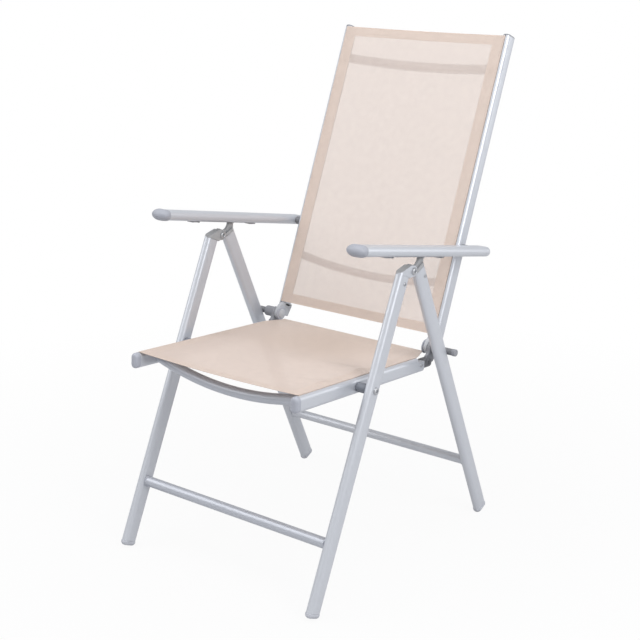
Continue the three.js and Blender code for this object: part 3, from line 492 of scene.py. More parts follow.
# Seat pivot rivets and spacers
# A rivet through each front leg carries the seat rail, with a dark plastic spacer between the two tubes.
RAIL_PLANE = 0.2075
RAIL_WIDTH = 0.018
RAIL_DEPTH = 0.032
RAIL_INNER = RAIL_PLANE - RAIL_WIDTH / 2
RAIL_OUTER = RAIL_PLANE + RAIL_WIDTH / 2
SEAT_PIVOT = (FRONT_AXIS, -0.2455)
SPACER_RADIUS = 0.010
SPACER_EDGE = 0.0012


def barrel(low, high, radius, edge, y=0.0, z=0.0):
    """A short round piece across the chair with both rims rounded over."""
    across, inset = quarter(edge, 5)
    start = [(low, POINT)] + list(zip(low + across, radius - inset))
    return turned_rings(start + [(high + low - place, reach) for place, reach in start[::-1]], y, z)


spacer_grey = plastic("spacer_grey", (0.145, 0.158, 0.19), (0.198, 0.211, 0.243), (0.46, 0.58))
seat_rivet = through_rivet(RAIL_INNER, LEG_OUTER, *SEAT_PIVOT)
pair("seat_rivet", [seat_rivet], plated_steel, "front_legs", "seat_pivot_bolt")
spacer = barrel(RAIL_OUTER + FIT, LEG_INNER - FIT, SPACER_RADIUS, SPACER_EDGE, *SEAT_PIVOT)
pair("seat_spacer", [spacer], spacer_grey, "front_legs", "seat_pivot_spacer")


# Rear legs
# Flat-oval tubes as at the front, leaning the other way, with feet, a thinner stretcher and plug screws.
REAR_LEAN = 24.2
REAR_AXIS = 0.0235
REAR_TUBE_TOP = -0.012
REAR_STRETCHER_RADIUS = 0.010
REAR_STRETCHER_DROP = 0.543
REAR_SCREW = (REAR_AXIS + 0.006, REAR_TUBE_TOP - 0.021)
stance["rear_legs"] = (hinge, REAR_LEAN)
rear_foot_end = floor_reach(REAR_LEAN, REAR_AXIS) + FOOT_HEIGHT
rear_tube = leg_tube(REAR_AXIS, rear_foot_end, REAR_TUBE_TOP)
pair("rear_leg_tube", [rear_tube], silver_coat, "rear_legs", "rear_leg")
rear_cap = foot_cap(REAR_AXIS, rear_foot_end, REAR_LEAN)
pair("rear_foot_cap", [rear_cap], pale_grey, "rear_legs", "rear_foot")
rear_bar = (REAR_STRETCHER_RADIUS, REAR_AXIS, REAR_STRETCHER_DROP)
stretcher("rear_stretcher", *rear_bar, "rear_legs", silver_coat)
rear_screw = plug_screw(LEG_OUTER, *REAR_SCREW)
pair("horn_screw", [rear_screw], plated_steel, "rear_legs", "rear_horn_screw")


# Horns and cross pins
# Each rear leg ends in a moulded cap with a tongue that turns in the knuckle and sweeps back into a horn.
# A plated pin across the horn's tip holds the armrest by a notch of its rack.
TONGUE = 0.007
TONGUE_EYE = 0.011
TONGUE_EDGE = 0.0016
HORN_TIP = 0.006
HORN_FOOT = REAR_TUBE_TOP + FIT + 0.0005
HORN_HEEL = REAR_AXIS + LEG_DEPTH / 2 - 0.003
HORN_SWEEP = HORN_FOOT + 0.0035
HORN_WAIST = (REAR_AXIS - 0.002, -0.009)
HORN_CAP_HEIGHT = 0.007
HORN_CAP_EDGE = 0.0016
HORN_CAP_CHAMFER = 0.0004
LOCK_PIN = (0.0402, 0.0065)
LOCK_PIN_RADIUS = 0.003
LOCK_PIN_HALF = 0.010
LOCK_PIN_EDGE = 0.0006


def horn_outline():
    """Side outline of tongue and horn: an eye round the bolt, a foot on the leg's cap, a sweep up to the
    round tip at the pin, and a waist back to the eye."""
    rear = LOCK_PIN[0] + HORN_TIP
    tip = arc(LOCK_PIN, HORN_TIP, 0, 126, 16)
    return evened([
        (0, -TONGUE_EYE),
        (REAR_AXIS, HORN_FOOT),
        bend((HORN_HEEL, HORN_FOOT), (rear, HORN_SWEEP), (rear, LOCK_PIN[1])),
        tip,
        bend(tip[-1], HORN_WAIST, (0, TONGUE_EYE)),
        arc((0, 0), TONGUE_EYE, 90, 270),
    ], 120)


def horn_cap():
    """The leg's end cap: the tube's outline with a rounded upper rim, hollowed where the knuckle's cheeks
    turn."""
    low = REAR_TUBE_TOP + FIT
    stations = [(low, HORN_CAP_CHAMFER), (low + HORN_CAP_CHAMFER, 0)]
    stations += rounded_end(low + HORN_CAP_HEIGHT, HORN_CAP_EDGE, 1)
    rings = oval_rings(LEG_WIDTH, LEG_DEPTH, stations) + [0, REAR_AXIS, 0]
    room = np.sqrt(np.maximum((CHEEK_EYE + FIT) ** 2 - rings[..., 2] ** 2, 0))
    rings[..., 1] = np.maximum(rings[..., 1], room)
    return rings


tongue = layers(horn_outline(), rounded_faces(-TONGUE / 2, TONGUE / 2, TONGUE_EDGE))
horn = [rings + [LEG_PLANE, 0, 0] for rings in (tongue, horn_cap())]
pair("horn", horn, knuckle_grey, "rear_legs", "rear_horn")
pin_ends = (LEG_PLANE - LOCK_PIN_HALF, LEG_PLANE + LOCK_PIN_HALF)
lock_pin = barrel(*pin_ends, LOCK_PIN_RADIUS, LOCK_PIN_EDGE, *LOCK_PIN)
pair("cross_pin", [lock_pin], plated_steel, "rear_legs", "lock_pin")


# Seat frame
# Two flat-oval rails with a groove along the crown for the sling's hem. The crown is cut away at the rear
# end, where the hem is threaded in. Domed caps close the front, and one round bar, in the silver coat
# painted darker as painted shade, is bowed down between the rails so that the stretched cloth stays clear
# of it.
SEAT_TILT = -4.5
SEAT_FRONT = -0.178
SEAT_REAR = 0.236
SEAT_CUT = 0.214
SEAT_CUT_HEIGHT = 0.008
SEAT_CAP_TIP = -0.190
SEAT_CAP_ROUND = 0.006
SEAT_BAR_Y = -0.121
SEAT_BAR_RADIUS = 0.011
SEAT_BAR_BOW = 0.032
SEAT_SCREW = (SEAT_REAR - 0.012, 0)
GROOVE_HALF = 0.0012
GROOVE_DEPTH = 0.009


def grooved_rings(low, high):
    """The rail's flat-oval outline with a narrow slot let into one crown, carried from one end to the
    other. Points of the crown that lie over the slot are left out, and the slot's four corners take their
    place."""
    outline = oval_ring(RAIL_WIDTH, RAIL_DEPTH, 0, 25)
    over_slot = (np.abs(outline[:, 0]) < GROOVE_HALF) & (outline[:, 1] > 0)
    first = int(np.argmax(over_slot))
    across = np.array([1, 1, -1, -1]) * GROOVE_HALF
    deep = RAIL_DEPTH / 2 - np.array([0, 1, 1, 0]) * GROOVE_DEPTH
    kept = outline[~over_slot]
    outline = np.concatenate([kept[:first], np.column_stack([across, deep]), kept[first:]])
    return np.stack([along_at(outline, along) for along in (low, high)])


def lengthwise(rings):
    """Lays a piece that was drawn upright along the chair: its length runs back and its depth runs up."""
    return rings[..., [0, 2, 1]]


def bowed_tube(radius, y, z, dip, bow, reach, steps=49):
    """A round tube across the chair whose middle dips and swells back on a parabola."""
    across = np.linspace(-reach, reach, steps)
    share = 1 - (across / RAIL_PLANE) ** 2
    path = np.column_stack([across, y + bow * share, z - dip * share])
    along = np.gradient(path, axis=0)
    along /= np.linalg.norm(along, axis=1, keepdims=True)
    side = np.cross(along, [0.0, 0.0, 1.0])
    side /= np.linalg.norm(side, axis=1, keepdims=True)
    up = np.cross(side, along)
    turn = np.linspace(0, 2 * np.pi, 24, endpoint=False)[None, :, None]
    return path[:, None] + radius * (np.cos(turn) * side[:, None] + np.sin(turn) * up[:, None])


seat_place = pivot["seat_fold"]
stance["seat"] = (seat_place, SEAT_TILT)
moulded_grey = plastic("moulded_grey", (0.345, 0.36, 0.41), (0.415, 0.43, 0.485))
cut_end = oval_rings(RAIL_WIDTH, RAIL_DEPTH, [(SEAT_CUT, 0), (SEAT_REAR, 0)])
cut_end[..., 1] = np.minimum(cut_end[..., 1], SEAT_CUT_HEIGHT)
rail_parts = (grooved_rings(SEAT_FRONT, SEAT_CUT), cut_end)
seat_rail = [lengthwise(rings) + [RAIL_PLANE, 0, 0] for rings in rail_parts]
pair("seat_rail_tube", seat_rail, silver_coat, "seat", "seat_rail")
cap_stations = [(SEAT_FRONT - FIT, 0)] + rounded_end(SEAT_CAP_TIP, SEAT_CAP_ROUND, -1)
seat_cap = lengthwise(oval_rings(RAIL_WIDTH, RAIL_DEPTH, cap_stations)) + [RAIL_PLANE, 0, 0]
pair("seat_cap", [seat_cap], moulded_grey, "seat", "seat_front_cap")
seat_bar = bowed_tube(SEAT_BAR_RADIUS, SEAT_BAR_Y, 0, SEAT_BAR_BOW, 0, RAIL_INNER - FIT)
piece("seat_bar_tube", [seat_bar], bar_coat, "seat", ["seat_front_bar"])
seat_screw = plug_screw(RAIL_OUTER, *SEAT_SCREW)
pair("seat_plug_screw", [seat_screw], plated_steel, "seat", "seat_hinge_screw")


# Seat hinge hubs
# A dark moulded hub closes each seat rail behind and carries, on its outer half, a lug that rises to the
# hinge rod. A pressed stud holds the hub's two halves together.
HUB_FACE = SEAT_REAR + FIT
HUB_END = SEAT_REAR + 0.034
HUB_ROUND = 0.0084
HUB_CHAMFER = 0.0006
HUB_TOP = 0.009
HUB_DEPTH = 0.025
HUB_RISE = 0.0015
HUB_SHOULDER = 0.0005
LUG_EYE = 0.013
LUG_EDGE = 0.0018
LUG_FOOT = 0.246
LUG_HEEL = HUB_END - 0.002
LUG_SWEEP = RAIL_DEPTH * 0.3
STUD_RADIUS = 0.006
STUD_RISE = 0.0022
STUD_ROOT = RAIL_OUTER - 0.002
STUD_PLACE = (0.256, 0.0024)
dark_plastic = plastic("dark_plastic", (0.150, 0.152, 0.166), (0.20, 0.202, 0.216), (0.46, 0.58))
hub_grey = plastic("hub_grey", (0.235, 0.24, 0.265), (0.295, 0.30, 0.325))
rod_place = pivot["rod_fold"]
to_rod = rod_place - seat_place
rod_seen = stand(np.array([0.0, to_rod[1], to_rod[2]]), np.zeros(3), -SEAT_TILT)[1:]
hub_stations = [(HUB_FACE, HUB_CHAMFER), (HUB_FACE + HUB_CHAMFER, 0)]
hub_stations += rounded_end(HUB_END, HUB_ROUND, 1, 9)
hub = oval_rings(RAIL_WIDTH - 2 * HUB_SHOULDER, HUB_DEPTH, hub_stations)
hub[..., 1] = np.minimum(hub[..., 1] + HUB_RISE, HUB_TOP)
hub = lengthwise(hub) + [RAIL_PLANE, 0, 0]
lug_front = rod_seen[0] - LUG_EYE
lug_rear = rod_seen[0] + LUG_EYE
lug_outline = evened([
    bend((LUG_HEEL, 0), (lug_rear, LUG_SWEEP), (lug_rear, rod_seen[1])),
    arc(rod_seen, LUG_EYE, 0, 180, 28),
    bend((lug_front, rod_seen[1]), (lug_front, RAIL_DEPTH / 2), (LUG_FOOT, RAIL_DEPTH / 2)),
    (LUG_FOOT, 0),
])
lug = layers(lug_outline, rounded_faces(RAIL_PLANE + FIT, RAIL_OUTER, LUG_EDGE))
stud_profile = [(STUD_ROOT, POINT), (STUD_ROOT, STUD_RADIUS), (RAIL_OUTER, STUD_RADIUS)]
stud_profile += dome_profile(RAIL_OUTER + DOME_RIM, STUD_RISE - DOME_RIM, STUD_RADIUS)
stud = turned_rings(stud_profile, *STUD_PLACE)
pair("seat_hub", [hub, stud], dark_plastic, "seat", "seat_hinge_plug")
pair("seat_lug", [lug], hub_grey, "seat")


# Seat sling
# One width of see-through coated mesh, its side hems held in the rails' grooves so that it is stretched
# across. Sides and ends are turned over and sewn down with two rows of stitches, so they are double and
# look denser.
SLING_THICKNESS = 0.0009
SLING_LIFT = 0.0005
SLING_SAG = 0.004
HEM_DROP = 0.007
SIDE_BAND = 0.027
END_BAND = 0.021
END_EDGE = 0.0028
BAND_STEP = 0.0002
EDGE_BODY = 1.6
SEWN_BODY = 1.14
HEM_BODY = 0.1
SEAT_BODY = 0.92
# Painted shade on the seat: the field's density rises by this much in the middle and behind, which darkens
# it towards the shade tint.
SEAT_PAINTED_SHADE = 0.42
PAINTED_SHADE_START = -0.03
PAINTED_SHADE_RUN = 0.18
REAR_DRAW = 0.0175
REAR_TIGHT = 0.12
CREASES = ((0.042, 0.05, 0.0055), (-0.075, -0.2, 0.0025))
CREASE_FADE = 0.085
CREASE_START = 0.02
CREASE_WIDTH = 0.018
THREAD_PITCH = 0.0013
THREAD_RELIEF = 0.0004
WANDER_CELLS = 60
WANDER_SHADE = (0.94, 1.06)
OPEN_ALPHA = 0.37
THREAD_ALPHA = 0.61
BODY_ALPHA = 0.24
SINGLE_TINT = (0.70, 0.603, 0.55, 1)
DOUBLE_TINT = (0.665, 0.555, 0.493, 1)
# Painted shade tint that the seat's middle and rear are darkened towards.
PAINTED_SHADE_TINT = (0.63, 0.515, 0.443, 1)
STITCH_PITCH = 0.004
STITCH_LENGTH = 0.0031
STITCH_RADIUS = 0.0006
STITCH_STATIONS = (-0.5, -0.3, 0.3, 0.5)
STITCH_SWELL = (0.35, 1.0, 1.0, 0.35)
STITCH_ROWS = (0.002, 0.007)
STITCH_INSET = 0.012
SEAT_SLING_FRONT = SEAT_FRONT + 0.003
SEAT_SLING_REAR = 0.272


def sum_of(tree, operation, *values):
    """Result of one sum in a material, from numbers or other nodes' outputs."""
    return add_node(tree, "Math", dict(enumerate(values)), operation=operation).outputs["Value"]


def mapped(tree, value, low, high, to_low, to_high):
    """A value moved from one range to another, and held at its ends."""
    ends = {"From Min": low, "From Max": high, "To Min": to_low, "To Max": to_high}
    return add_node(tree, "MapRange", {"Value": value, **ends}).outputs["Result"]


def cloth_material():
    """Coated mesh: warp and weft are two sine waves at the thread's pitch over the cloth's own (across,
    along) place, and where both are low the mesh is open. The third value of that place is 1 where the
    cloth is double, which makes it denser and warmer in colour. Above 1 it is denser still and mixed
    towards a darker shade tint: in the seat's middle and rear this is painted shade, and in the sewn bands
    and their edges it darkens the doubled cloth."""
    material, tree, surface = new_material("sling_mesh_cloth")
    place = add_node(tree, "Attribute", {}, attribute_name="cloth_place").outputs["Vector"]
    across, along, body = add_node(tree, "SeparateXYZ", {"Vector": place}).outputs
    turns = [sum_of(tree, "MULTIPLY", way, 2 * math.pi / THREAD_PITCH) for way in (across, along)]
    threads = sum_of(tree, "MAXIMUM", *(sum_of(tree, "SINE", turn) for turn in turns))
    wander = add_node(tree, "TexNoise", {"Vector": place, "Scale": WANDER_CELLS}).outputs["Fac"]
    single = mapped(tree, threads, -1.0, 1.0, OPEN_ALPHA, THREAD_ALPHA)
    tint = mixed_colour(tree, body, SINGLE_TINT, DOUBLE_TINT)
    # Painted shade: density above 1 mixes the tint towards the darker shade tint.
    painted_shade = mapped(tree, body, 1.0, SEAT_BODY + SEAT_PAINTED_SHADE, 0.0, 1.0)
    tint = mixed_colour(tree, painted_shade, tint, PAINTED_SHADE_TINT)
    shade = mapped(tree, wander, 0.0, 1.0, *WANDER_SHADE)
    bump = add_node(tree, "Bump", {"Height": threads, "Strength": 0.25, "Distance": THREAD_RELIEF})
    wire(tree, surface, {
        "Base Color": mixed_colour(tree, 1.0, tint, shade, "MULTIPLY"),
        "Alpha": sum_of(tree, "ADD", single, sum_of(tree, "MULTIPLY", body, BODY_ALPHA)),
        "Normal": bump.outputs["Normal"],
        "Roughness": 0.72,
        "Sheen Weight": 0.08,
    })
    return material


def spread(low, high, steps, *bands):
    """Even places between two ends, with a close pair at each band's edge so that the edge shows
    sharp."""
    edges = [edge for band in bands for edge in (low + band, high - band)]
    pairs = [edge + step for edge in edges for step in (-BAND_STEP, BAND_STEP)]
    return np.unique(np.concatenate([np.linspace(low, high, steps), pairs]))


def cloth_height(x, v, creases):
    """Height of the cloth's underside over the rails' crowns: a parabolic sag across, and creases on top
    of it."""
    return SLING_LIFT - SLING_SAG * (1 - (x / RAIL_PLANE) ** 2) + creases(x, v)


def sling(low, high, creases, narrowing, body):
    """Closed thin skin of a stretched sling. Across the chair it rises out of one groove, runs over to
    the other with a parabolic sag and goes down again, and this section is carried along the rails. Where
    the cloth is narrower than the rails stand apart, its sides are free of the grooves. Returns the
    outlines and each point's place on the cloth, with its density: body's in the field, 1 or more in the
    sewn bands and most in their edges."""
    across = spread(-RAIL_PLANE, RAIL_PLANE, 81, SIDE_BAND)
    along = spread(low, high, 101, END_BAND, END_EDGE)
    x, v = np.meshgrid(across, along)
    height = cloth_height(x, v, creases)
    half = SLING_THICKNESS / 2
    outer = x * (1 + half / RAIL_PLANE)
    inner = x * (1 - half / RAIL_PLANE)
    width = narrowing(along)[:, None]
    foot = np.where(width < 1, SLING_LIFT - SLING_THICKNESS / 4, -HEM_DROP)
    far = np.full((len(along), 1), RAIL_PLANE + half)
    near = np.full((len(along), 1), RAIL_PLANE - half)
    wide = width * np.concatenate([-far, outer, far, near, inner[:, ::-1], -near], axis=1)
    tall = np.concatenate([foot, height + SLING_THICKNESS, foot, foot, height[:, ::-1], foot], axis=1)
    rows = np.broadcast_to(along[:, None], wide.shape)
    drop = np.full((len(along), 1), RAIL_PLANE + HEM_DROP)
    sewn = np.concatenate([-drop, x, drop, drop, x[:, ::-1], -drop], axis=1)
    side_gap = RAIL_PLANE - np.abs(sewn)
    end_gap = np.minimum(rows - low, high - rows)
    field = body(sewn, rows)
    band = np.maximum(field + HEM_BODY, SEWN_BODY)
    double = np.where((side_gap < SIDE_BAND) | (end_gap < END_BAND), band, field)
    double = np.where(end_gap < END_EDGE, EDGE_BODY, double)
    return np.stack([wide, rows, tall], axis=-1), np.stack([sewn, rows, double], axis=-1)


def stitch_rings(low, high, creases, narrowing, low_rows, high_rows):
    """Stitches as small capsules along straight rows, half sunk in the cloth: six-sided outlines, narrow
    at both ends, set round each stitch's own line. Two rows follow each side band, and the end bands have
    their own rows."""
    side_rows = [sign * (RAIL_PLANE - (SIDE_BAND - inset)) for sign in (-1, 1) for inset in STITCH_ROWS]
    end_rows = [low + END_BAND - inset for inset in low_rows]
    end_rows += [high - END_BAND + inset for inset in high_rows]
    run = np.arange(low + END_BAND, high - END_BAND, STITCH_PITCH)
    span = np.arange(-RAIL_PLANE + STITCH_INSET, RAIL_PLANE - STITCH_INSET, STITCH_PITCH)
    x = np.concatenate([np.repeat(side_rows, len(run)), np.tile(span, len(end_rows))])
    v = np.concatenate([np.tile(run, len(side_rows)), np.repeat(end_rows, len(span))])
    lengthways = np.where(np.arange(len(x)) < len(side_rows) * len(run), 1.0, 0.0)
    middle = np.stack([x * narrowing(v), v, cloth_height(x, v, creases) + SLING_THICKNESS / 2], axis=-1)
    rise = 2 * SLING_SAG * x / RAIL_PLANE ** 2
    way = np.stack([1 - lengthways, lengthways, rise * (1 - lengthways)], axis=-1)
    way /= np.linalg.norm(way, axis=1, keepdims=True)
    side = np.cross([0.0, 0.0, 1.0], way)
    up = np.cross(way, side)
    turn = np.linspace(0, 2 * np.pi, 6, endpoint=False)[None, None, :, None]
    along = np.array(STITCH_STATIONS)[None, :, None, None] * STITCH_LENGTH
    reach = np.array(STITCH_SWELL)[None, :, None, None] * STITCH_RADIUS
    round_line = np.cos(turn) * side[:, None, None] + np.sin(turn) * up[:, None, None]
    return middle[:, None, None] + along * way[:, None, None] + reach * round_line


def cloth_piece(name, rings, place, stitches, body, node):
    """A sling as an object, with its cloth places kept for the weave, and the stitches that are sewn
    through it as a piece of their own."""
    made = piece(name, [rings], sling_cloth, body, [node])
    kept = made.data.attributes.new("cloth_place", "FLOAT_VECTOR", "POINT")
    kept.data.foreach_set("vector", place.reshape(-1).astype(np.float32))
    sewn = piece(f"{name}_stitches", stitches, sewing_thread, body)


def eased(share):
    """A step from 0 to 1 that starts and ends level: three squares less two cubes of the share."""
    held = np.clip(share, 0, 1)
    return held ** 2 * (3 - 2 * held)


def seat_body(x, v):
    """Density of the seat's field: the mesh looks almost closed, and its middle and rear are made denser
    and darker as painted shade. That share is an eased step along the rails times a parabola across them."""
    painted_shade = eased((v - PAINTED_SHADE_START) / PAINTED_SHADE_RUN) * (1 - (x / RAIL_PLANE) ** 2)
    return SEAT_BODY + SEAT_PAINTED_SHADE * painted_shade


def seat_creases(x, v):
    """Shallow creases that run in from the left rail, each a narrow ridge that fades towards the middle.
    Towards the rear hem, which is drawn tight, the sag is taken out again."""
    total = SLING_SAG * (1 - (x / RAIL_PLANE) ** 2) * eased((v - SEAT_SLING_REAR + REAR_TIGHT) / REAR_TIGHT)
    inward = RAIL_PLANE - x
    fade = np.exp(-(inward / CREASE_FADE) ** 2) * np.clip(inward / CREASE_START, 0, 1)
    for start, lean, depth in CREASES:
        middle = start + lean * inward
        total = total + depth * fade * np.exp(-((v - middle) / CREASE_WIDTH) ** 2)
    return total


def seat_narrowing(v):
    """Width of the seat cloth as a share of the rails' distance: behind the grooves it draws in between
    the lugs."""
    return 1 - REAR_DRAW / RAIL_PLANE * eased((v - SEAT_CUT) / (SEAT_SLING_REAR - SEAT_CUT))


sling_cloth = cloth_material()
thread_grain = {"cells": 1800, "rough": (0.6, 0.75), "relief": 0.2}
sewing_thread = finish("sewing_thread", (0.50, 0.41, 0.355), (0.60, 0.51, 0.455), **thread_grain)
seat_ends = (SEAT_SLING_FRONT, SEAT_SLING_REAR)
seat_rings, seat_cloth = sling(*seat_ends, seat_creases, seat_narrowing, seat_body)
seat_sewing = stitch_rings(*seat_ends, seat_creases, seat_narrowing, STITCH_ROWS, STITCH_ROWS)
seat_mesh, seat_stitches = (points + [0, 0, RAIL_DEPTH / 2] for points in (seat_rings, seat_sewing))
cloth_piece("seat_mesh", seat_mesh, seat_cloth, seat_stitches, "seat", "seat_sling")


# Hinge rods
# A dark sleeved rod joins seat and back on each side and runs out behind the rear leg, where it rests. A
# pale domed head on a broad washer closes it on the inside of the bracket, and a grey bush on it keeps
# seat and leg apart.
ROD_RADIUS = 0.007
ROD_END = 0.273
ROD_FACE = RAIL_INNER - FIT
ROD_HEAD = 0.0105
ROD_HEAD_LENGTH = 0.0035
ROD_HEAD_RIM = 0.001
ROD_HEAD_DOME = 0.0011
ROD_WASHER = 0.0150
ROD_WASHER_LENGTH = 0.003
ROD_CHAMFER = 0.0015
ROD_TIP_RADIUS = 0.0075
ROD_TIP_LENGTH = 0.009
ROD_BUSH = 0.0115
ROD_BUSH_END = 0.238
ROD_BUSH_EDGE = 0.0015
stance["hinge_rods"] = (rod_place, 0)
boss_grey = plastic("boss_grey", (0.41, 0.425, 0.455), (0.48, 0.495, 0.525))
sleeve_end = ROD_END - ROD_TIP_LENGTH / 2
rod_profile = [(ROD_FACE, POINT), (ROD_FACE, ROD_RADIUS), (sleeve_end, ROD_RADIUS), (sleeve_end, POINT)]
head_face = ROD_FACE - ROD_WASHER_LENGTH
head_profile = [(head_face, POINT), (head_face, ROD_HEAD), (head_face - ROD_HEAD_RIM, ROD_HEAD)]
head_profile += dome_profile(head_face - ROD_HEAD_DOME, ROD_HEAD_DOME - ROD_HEAD_LENGTH, ROD_HEAD, 10)[1:]
pair("rod_sleeve", [turned_rings(rod_profile)], dark_plastic, "hinge_rods", "hinge_rod")
for rod_part, rod_skin, rod_finish in (
    ("rod_tip", barrel(ROD_END - ROD_TIP_LENGTH, ROD_END, ROD_TIP_RADIUS, ROD_CHAMFER), hub_grey),
    ("rod_bush", barrel(RAIL_OUTER + FIT, ROD_BUSH_END, ROD_BUSH, ROD_BUSH_EDGE), hub_grey),
    ("rod_washer", barrel(head_face, ROD_FACE, ROD_WASHER, ROD_BUSH_EDGE), moulded_grey),
    ("rod_head", turned_rings(head_profile), boss_grey),
):
    pair(rod_part, [rod_skin], rod_finish, "hinge_rods")


# Back frame
# Two long flat-oval rails with the groove in their front crown, small grey caps on top and two round bars
# behind the cloth, bowed back so that nothing presses on the sitter.
BACK_LEAN = -22.5
BACK_AXIS = 0.020
BACK_LOW = 0.026
BACK_TOP = 0.680
BACK_CAP_TIP = 0.6835
BACK_CAP_ROUND = 0.0033
BACK_BAR_BOW = 0.015
BACK_BARS = {"upper": (0.0105, 0.6098, 0.005), "lower": (0.009, 0.145, 0.019)}
stance["backrest"] = (rod_place, BACK_LEAN)
back_rail = grooved_rings(BACK_LOW, BACK_TOP) * [1, -1, 1] + [RAIL_PLANE, BACK_AXIS, 0]
pair("back_rail_tube", [back_rail], silver_coat, "backrest", "back_rail")
top_stations = [(BACK_TOP + FIT, 0)] + rounded_end(BACK_CAP_TIP, BACK_CAP_ROUND, 1)
top_cap = oval_rings(RAIL_WIDTH, RAIL_DEPTH, top_stations) + [RAIL_PLANE, BACK_AXIS, 0]
pair("top_cap", [top_cap], hub_grey, "backrest", "back_top_cap")
for bar_name, (bar_radius, bar_height, bar_dip) in BACK_BARS.items():
    bar = bowed_tube(bar_radius, BACK_AXIS, bar_height, bar_dip, BACK_BAR_BOW, RAIL_INNER - FIT)
    piece(f"{bar_name}_bar_tube", [bar], silver_coat, "backrest", [f"back_{bar_name}_bar"])


# Back brackets
# A moulded grey collar plugs the lower end of each back rail, with a lug on its inner half down to the
# hinge rod.
COLLAR_TOP = BACK_LOW - FIT
COLLAR_LOW = COLLAR_TOP - 0.006
COLLAR_LOW_EDGE = 0.0008
COLLAR_TOP_EDGE = 0.0005
BRACKET_FRONT = BACK_AXIS - RAIL_DEPTH / 2
BRACKET_REAR = BACK_AXIS + RAIL_DEPTH / 2
BRACKET_HEEL = BRACKET_REAR - 0.005
BRACKET_ROUND = 0.003
bracket_outline = evened([
    bend((BRACKET_FRONT, COLLAR_TOP), (BRACKET_ROUND - LUG_EYE, COLLAR_LOW), (-LUG_EYE, 0)),
    arc((0, 0), LUG_EYE, 180, 343, 32),
    bend((BRACKET_HEEL - BRACKET_ROUND, -BRACKET_ROUND), (BRACKET_HEEL, -BRACKET_ROUND),
         (BRACKET_HEEL, BRACKET_ROUND)),
    (BRACKET_REAR, COLLAR_LOW),
    (BRACKET_REAR, COLLAR_TOP),
])
bracket_lug = layers(bracket_outline, rounded_faces(RAIL_INNER, RAIL_PLANE - FIT, LUG_EDGE))
collar_stations = [(COLLAR_LOW, COLLAR_LOW_EDGE), (COLLAR_LOW + COLLAR_LOW_EDGE, 0)]
collar_stations += [(COLLAR_TOP - COLLAR_TOP_EDGE, 0), (COLLAR_TOP, COLLAR_TOP_EDGE)]
collar = oval_rings(RAIL_WIDTH, RAIL_DEPTH, collar_stations) + [RAIL_PLANE, BACK_AXIS, 0]
pair("bracket", [bracket_lug, collar], boss_grey, "backrest", "back_bracket")


# Back sling
# The same mesh as the seat, in one long piece with its hems in the grooves of the back rails.
# Two rows of stitches hold the top hem and three the bottom one.
BACK_SLING_LOW = BACK_LOW + 0.002
BACK_SLING_HIGH = BACK_TOP - 0.002
BOTTOM_ROWS = (0.002, 0.007, 0.012)
SLACK_DEPTH = 0.0012
SLACK_REACH = 0.03


def back_creases(x, v):
    """A faint slackness near the top and bottom hems, where the cloth is only held at its sides."""
    ends = np.exp(-((v - BACK_LOW) / SLACK_REACH) ** 2) + np.exp(-((v - BACK_TOP) / SLACK_REACH) ** 2)
    return -SLACK_DEPTH * ends * (1 - (x / RAIL_PLANE) ** 2)


def back_body(x, v):
    """Density of the back's field: none beyond the single cloth's own."""
    return np.zeros_like(x)


def back_narrowing(v):
    """Width of the back cloth as a share of the rails' distance: it fills them from end to end."""
    return np.ones_like(v)


def on_back_front(points):
    """Lays sling points (across, along, height over the crowns) on the front of the back rails."""
    return points[..., [0, 2, 1]] * [1, -1, 1] + [0, BRACKET_FRONT, 0]


back_ends = (BACK_SLING_LOW, BACK_SLING_HIGH)
back_rings, back_cloth = sling(*back_ends, back_creases, back_narrowing, back_body)
back_sewing = stitch_rings(*back_ends, back_creases, back_narrowing, BOTTOM_ROWS, STITCH_ROWS)
back_mesh, back_stitches = (on_back_front(points) for points in (back_rings, back_sewing))
cloth_piece("back_mesh", back_mesh, back_cloth, back_stitches, "backrest", "back_sling")


# Armrest pivots
# A bolt through each back rail ends in a nut inside the armrest, with a dark plastic bush between them.
BUSH_RADIUS = 0.009
NUT_RADIUS = 0.0065
ARM_WIDTH = 0.040
ARM_INNER = LEG_PLANE - ARM_WIDTH / 2
NUT_FACE = ARM_INNER + 0.005
NUT_END = NUT_FACE + RIVET_LENGTH
arm_place = pivot["arm_fold"]
stance["arm_pivots"] = (arm_place, 0)
arm_bolt = rivet_head(RAIL_INNER - FIT, -1)[::-1]
arm_bolt += [(RAIL_INNER - FIT, RIVET_SHANK), (NUT_FACE, RIVET_SHANK)]
arm_bolt += [(NUT_FACE, NUT_RADIUS), (NUT_END, NUT_RADIUS), (NUT_END, POINT)]
pair("arm_bolt", [turned_rings(arm_bolt)], plated_steel, "arm_pivots", "arm_pivot_bolt")
bush = barrel(RAIL_OUTER + FIT, ARM_INNER - FIT, BUSH_RADIUS, SPACER_EDGE)
pair("arm_bush", [bush], dark_plastic, "arm_pivots", "arm_pivot_bush")


# Armrests
# Wide flat-oval tubes with a domed grey cap in front and a rounded end behind the back rail.
# A long slot in the underside takes the rack.
ARM_SLOPE = -11.202
ARM_HEIGHT = 0.0206
ARM_FRONT = -0.4225
ARM_REAR = 0.021
ARM_TIP = -0.4465
ARM_REAR_TIP = 0.032
ARM_REAR_ROUND = 0.008
ARM_ROUND = ARM_HEIGHT / 2
ARM_FLAT = ARM_WIDTH / 2 - ARM_ROUND
RACK_FRONT = -0.326
RACK_REAR = -0.148
RACK_SLOT = 0.0126
RACK_CEILING = 0.0013
BULB_LIP = 0.0018
BULB_WIDEST = 0.62
BULB_TUCK = 0.07
BULB_EGG = 0.7
BULB_POINT = 0.01
BULB_CROWDING = 1.5
stance.update({f"{side}_armrest": (arm_place, ARM_SLOPE) for side in SIDES})


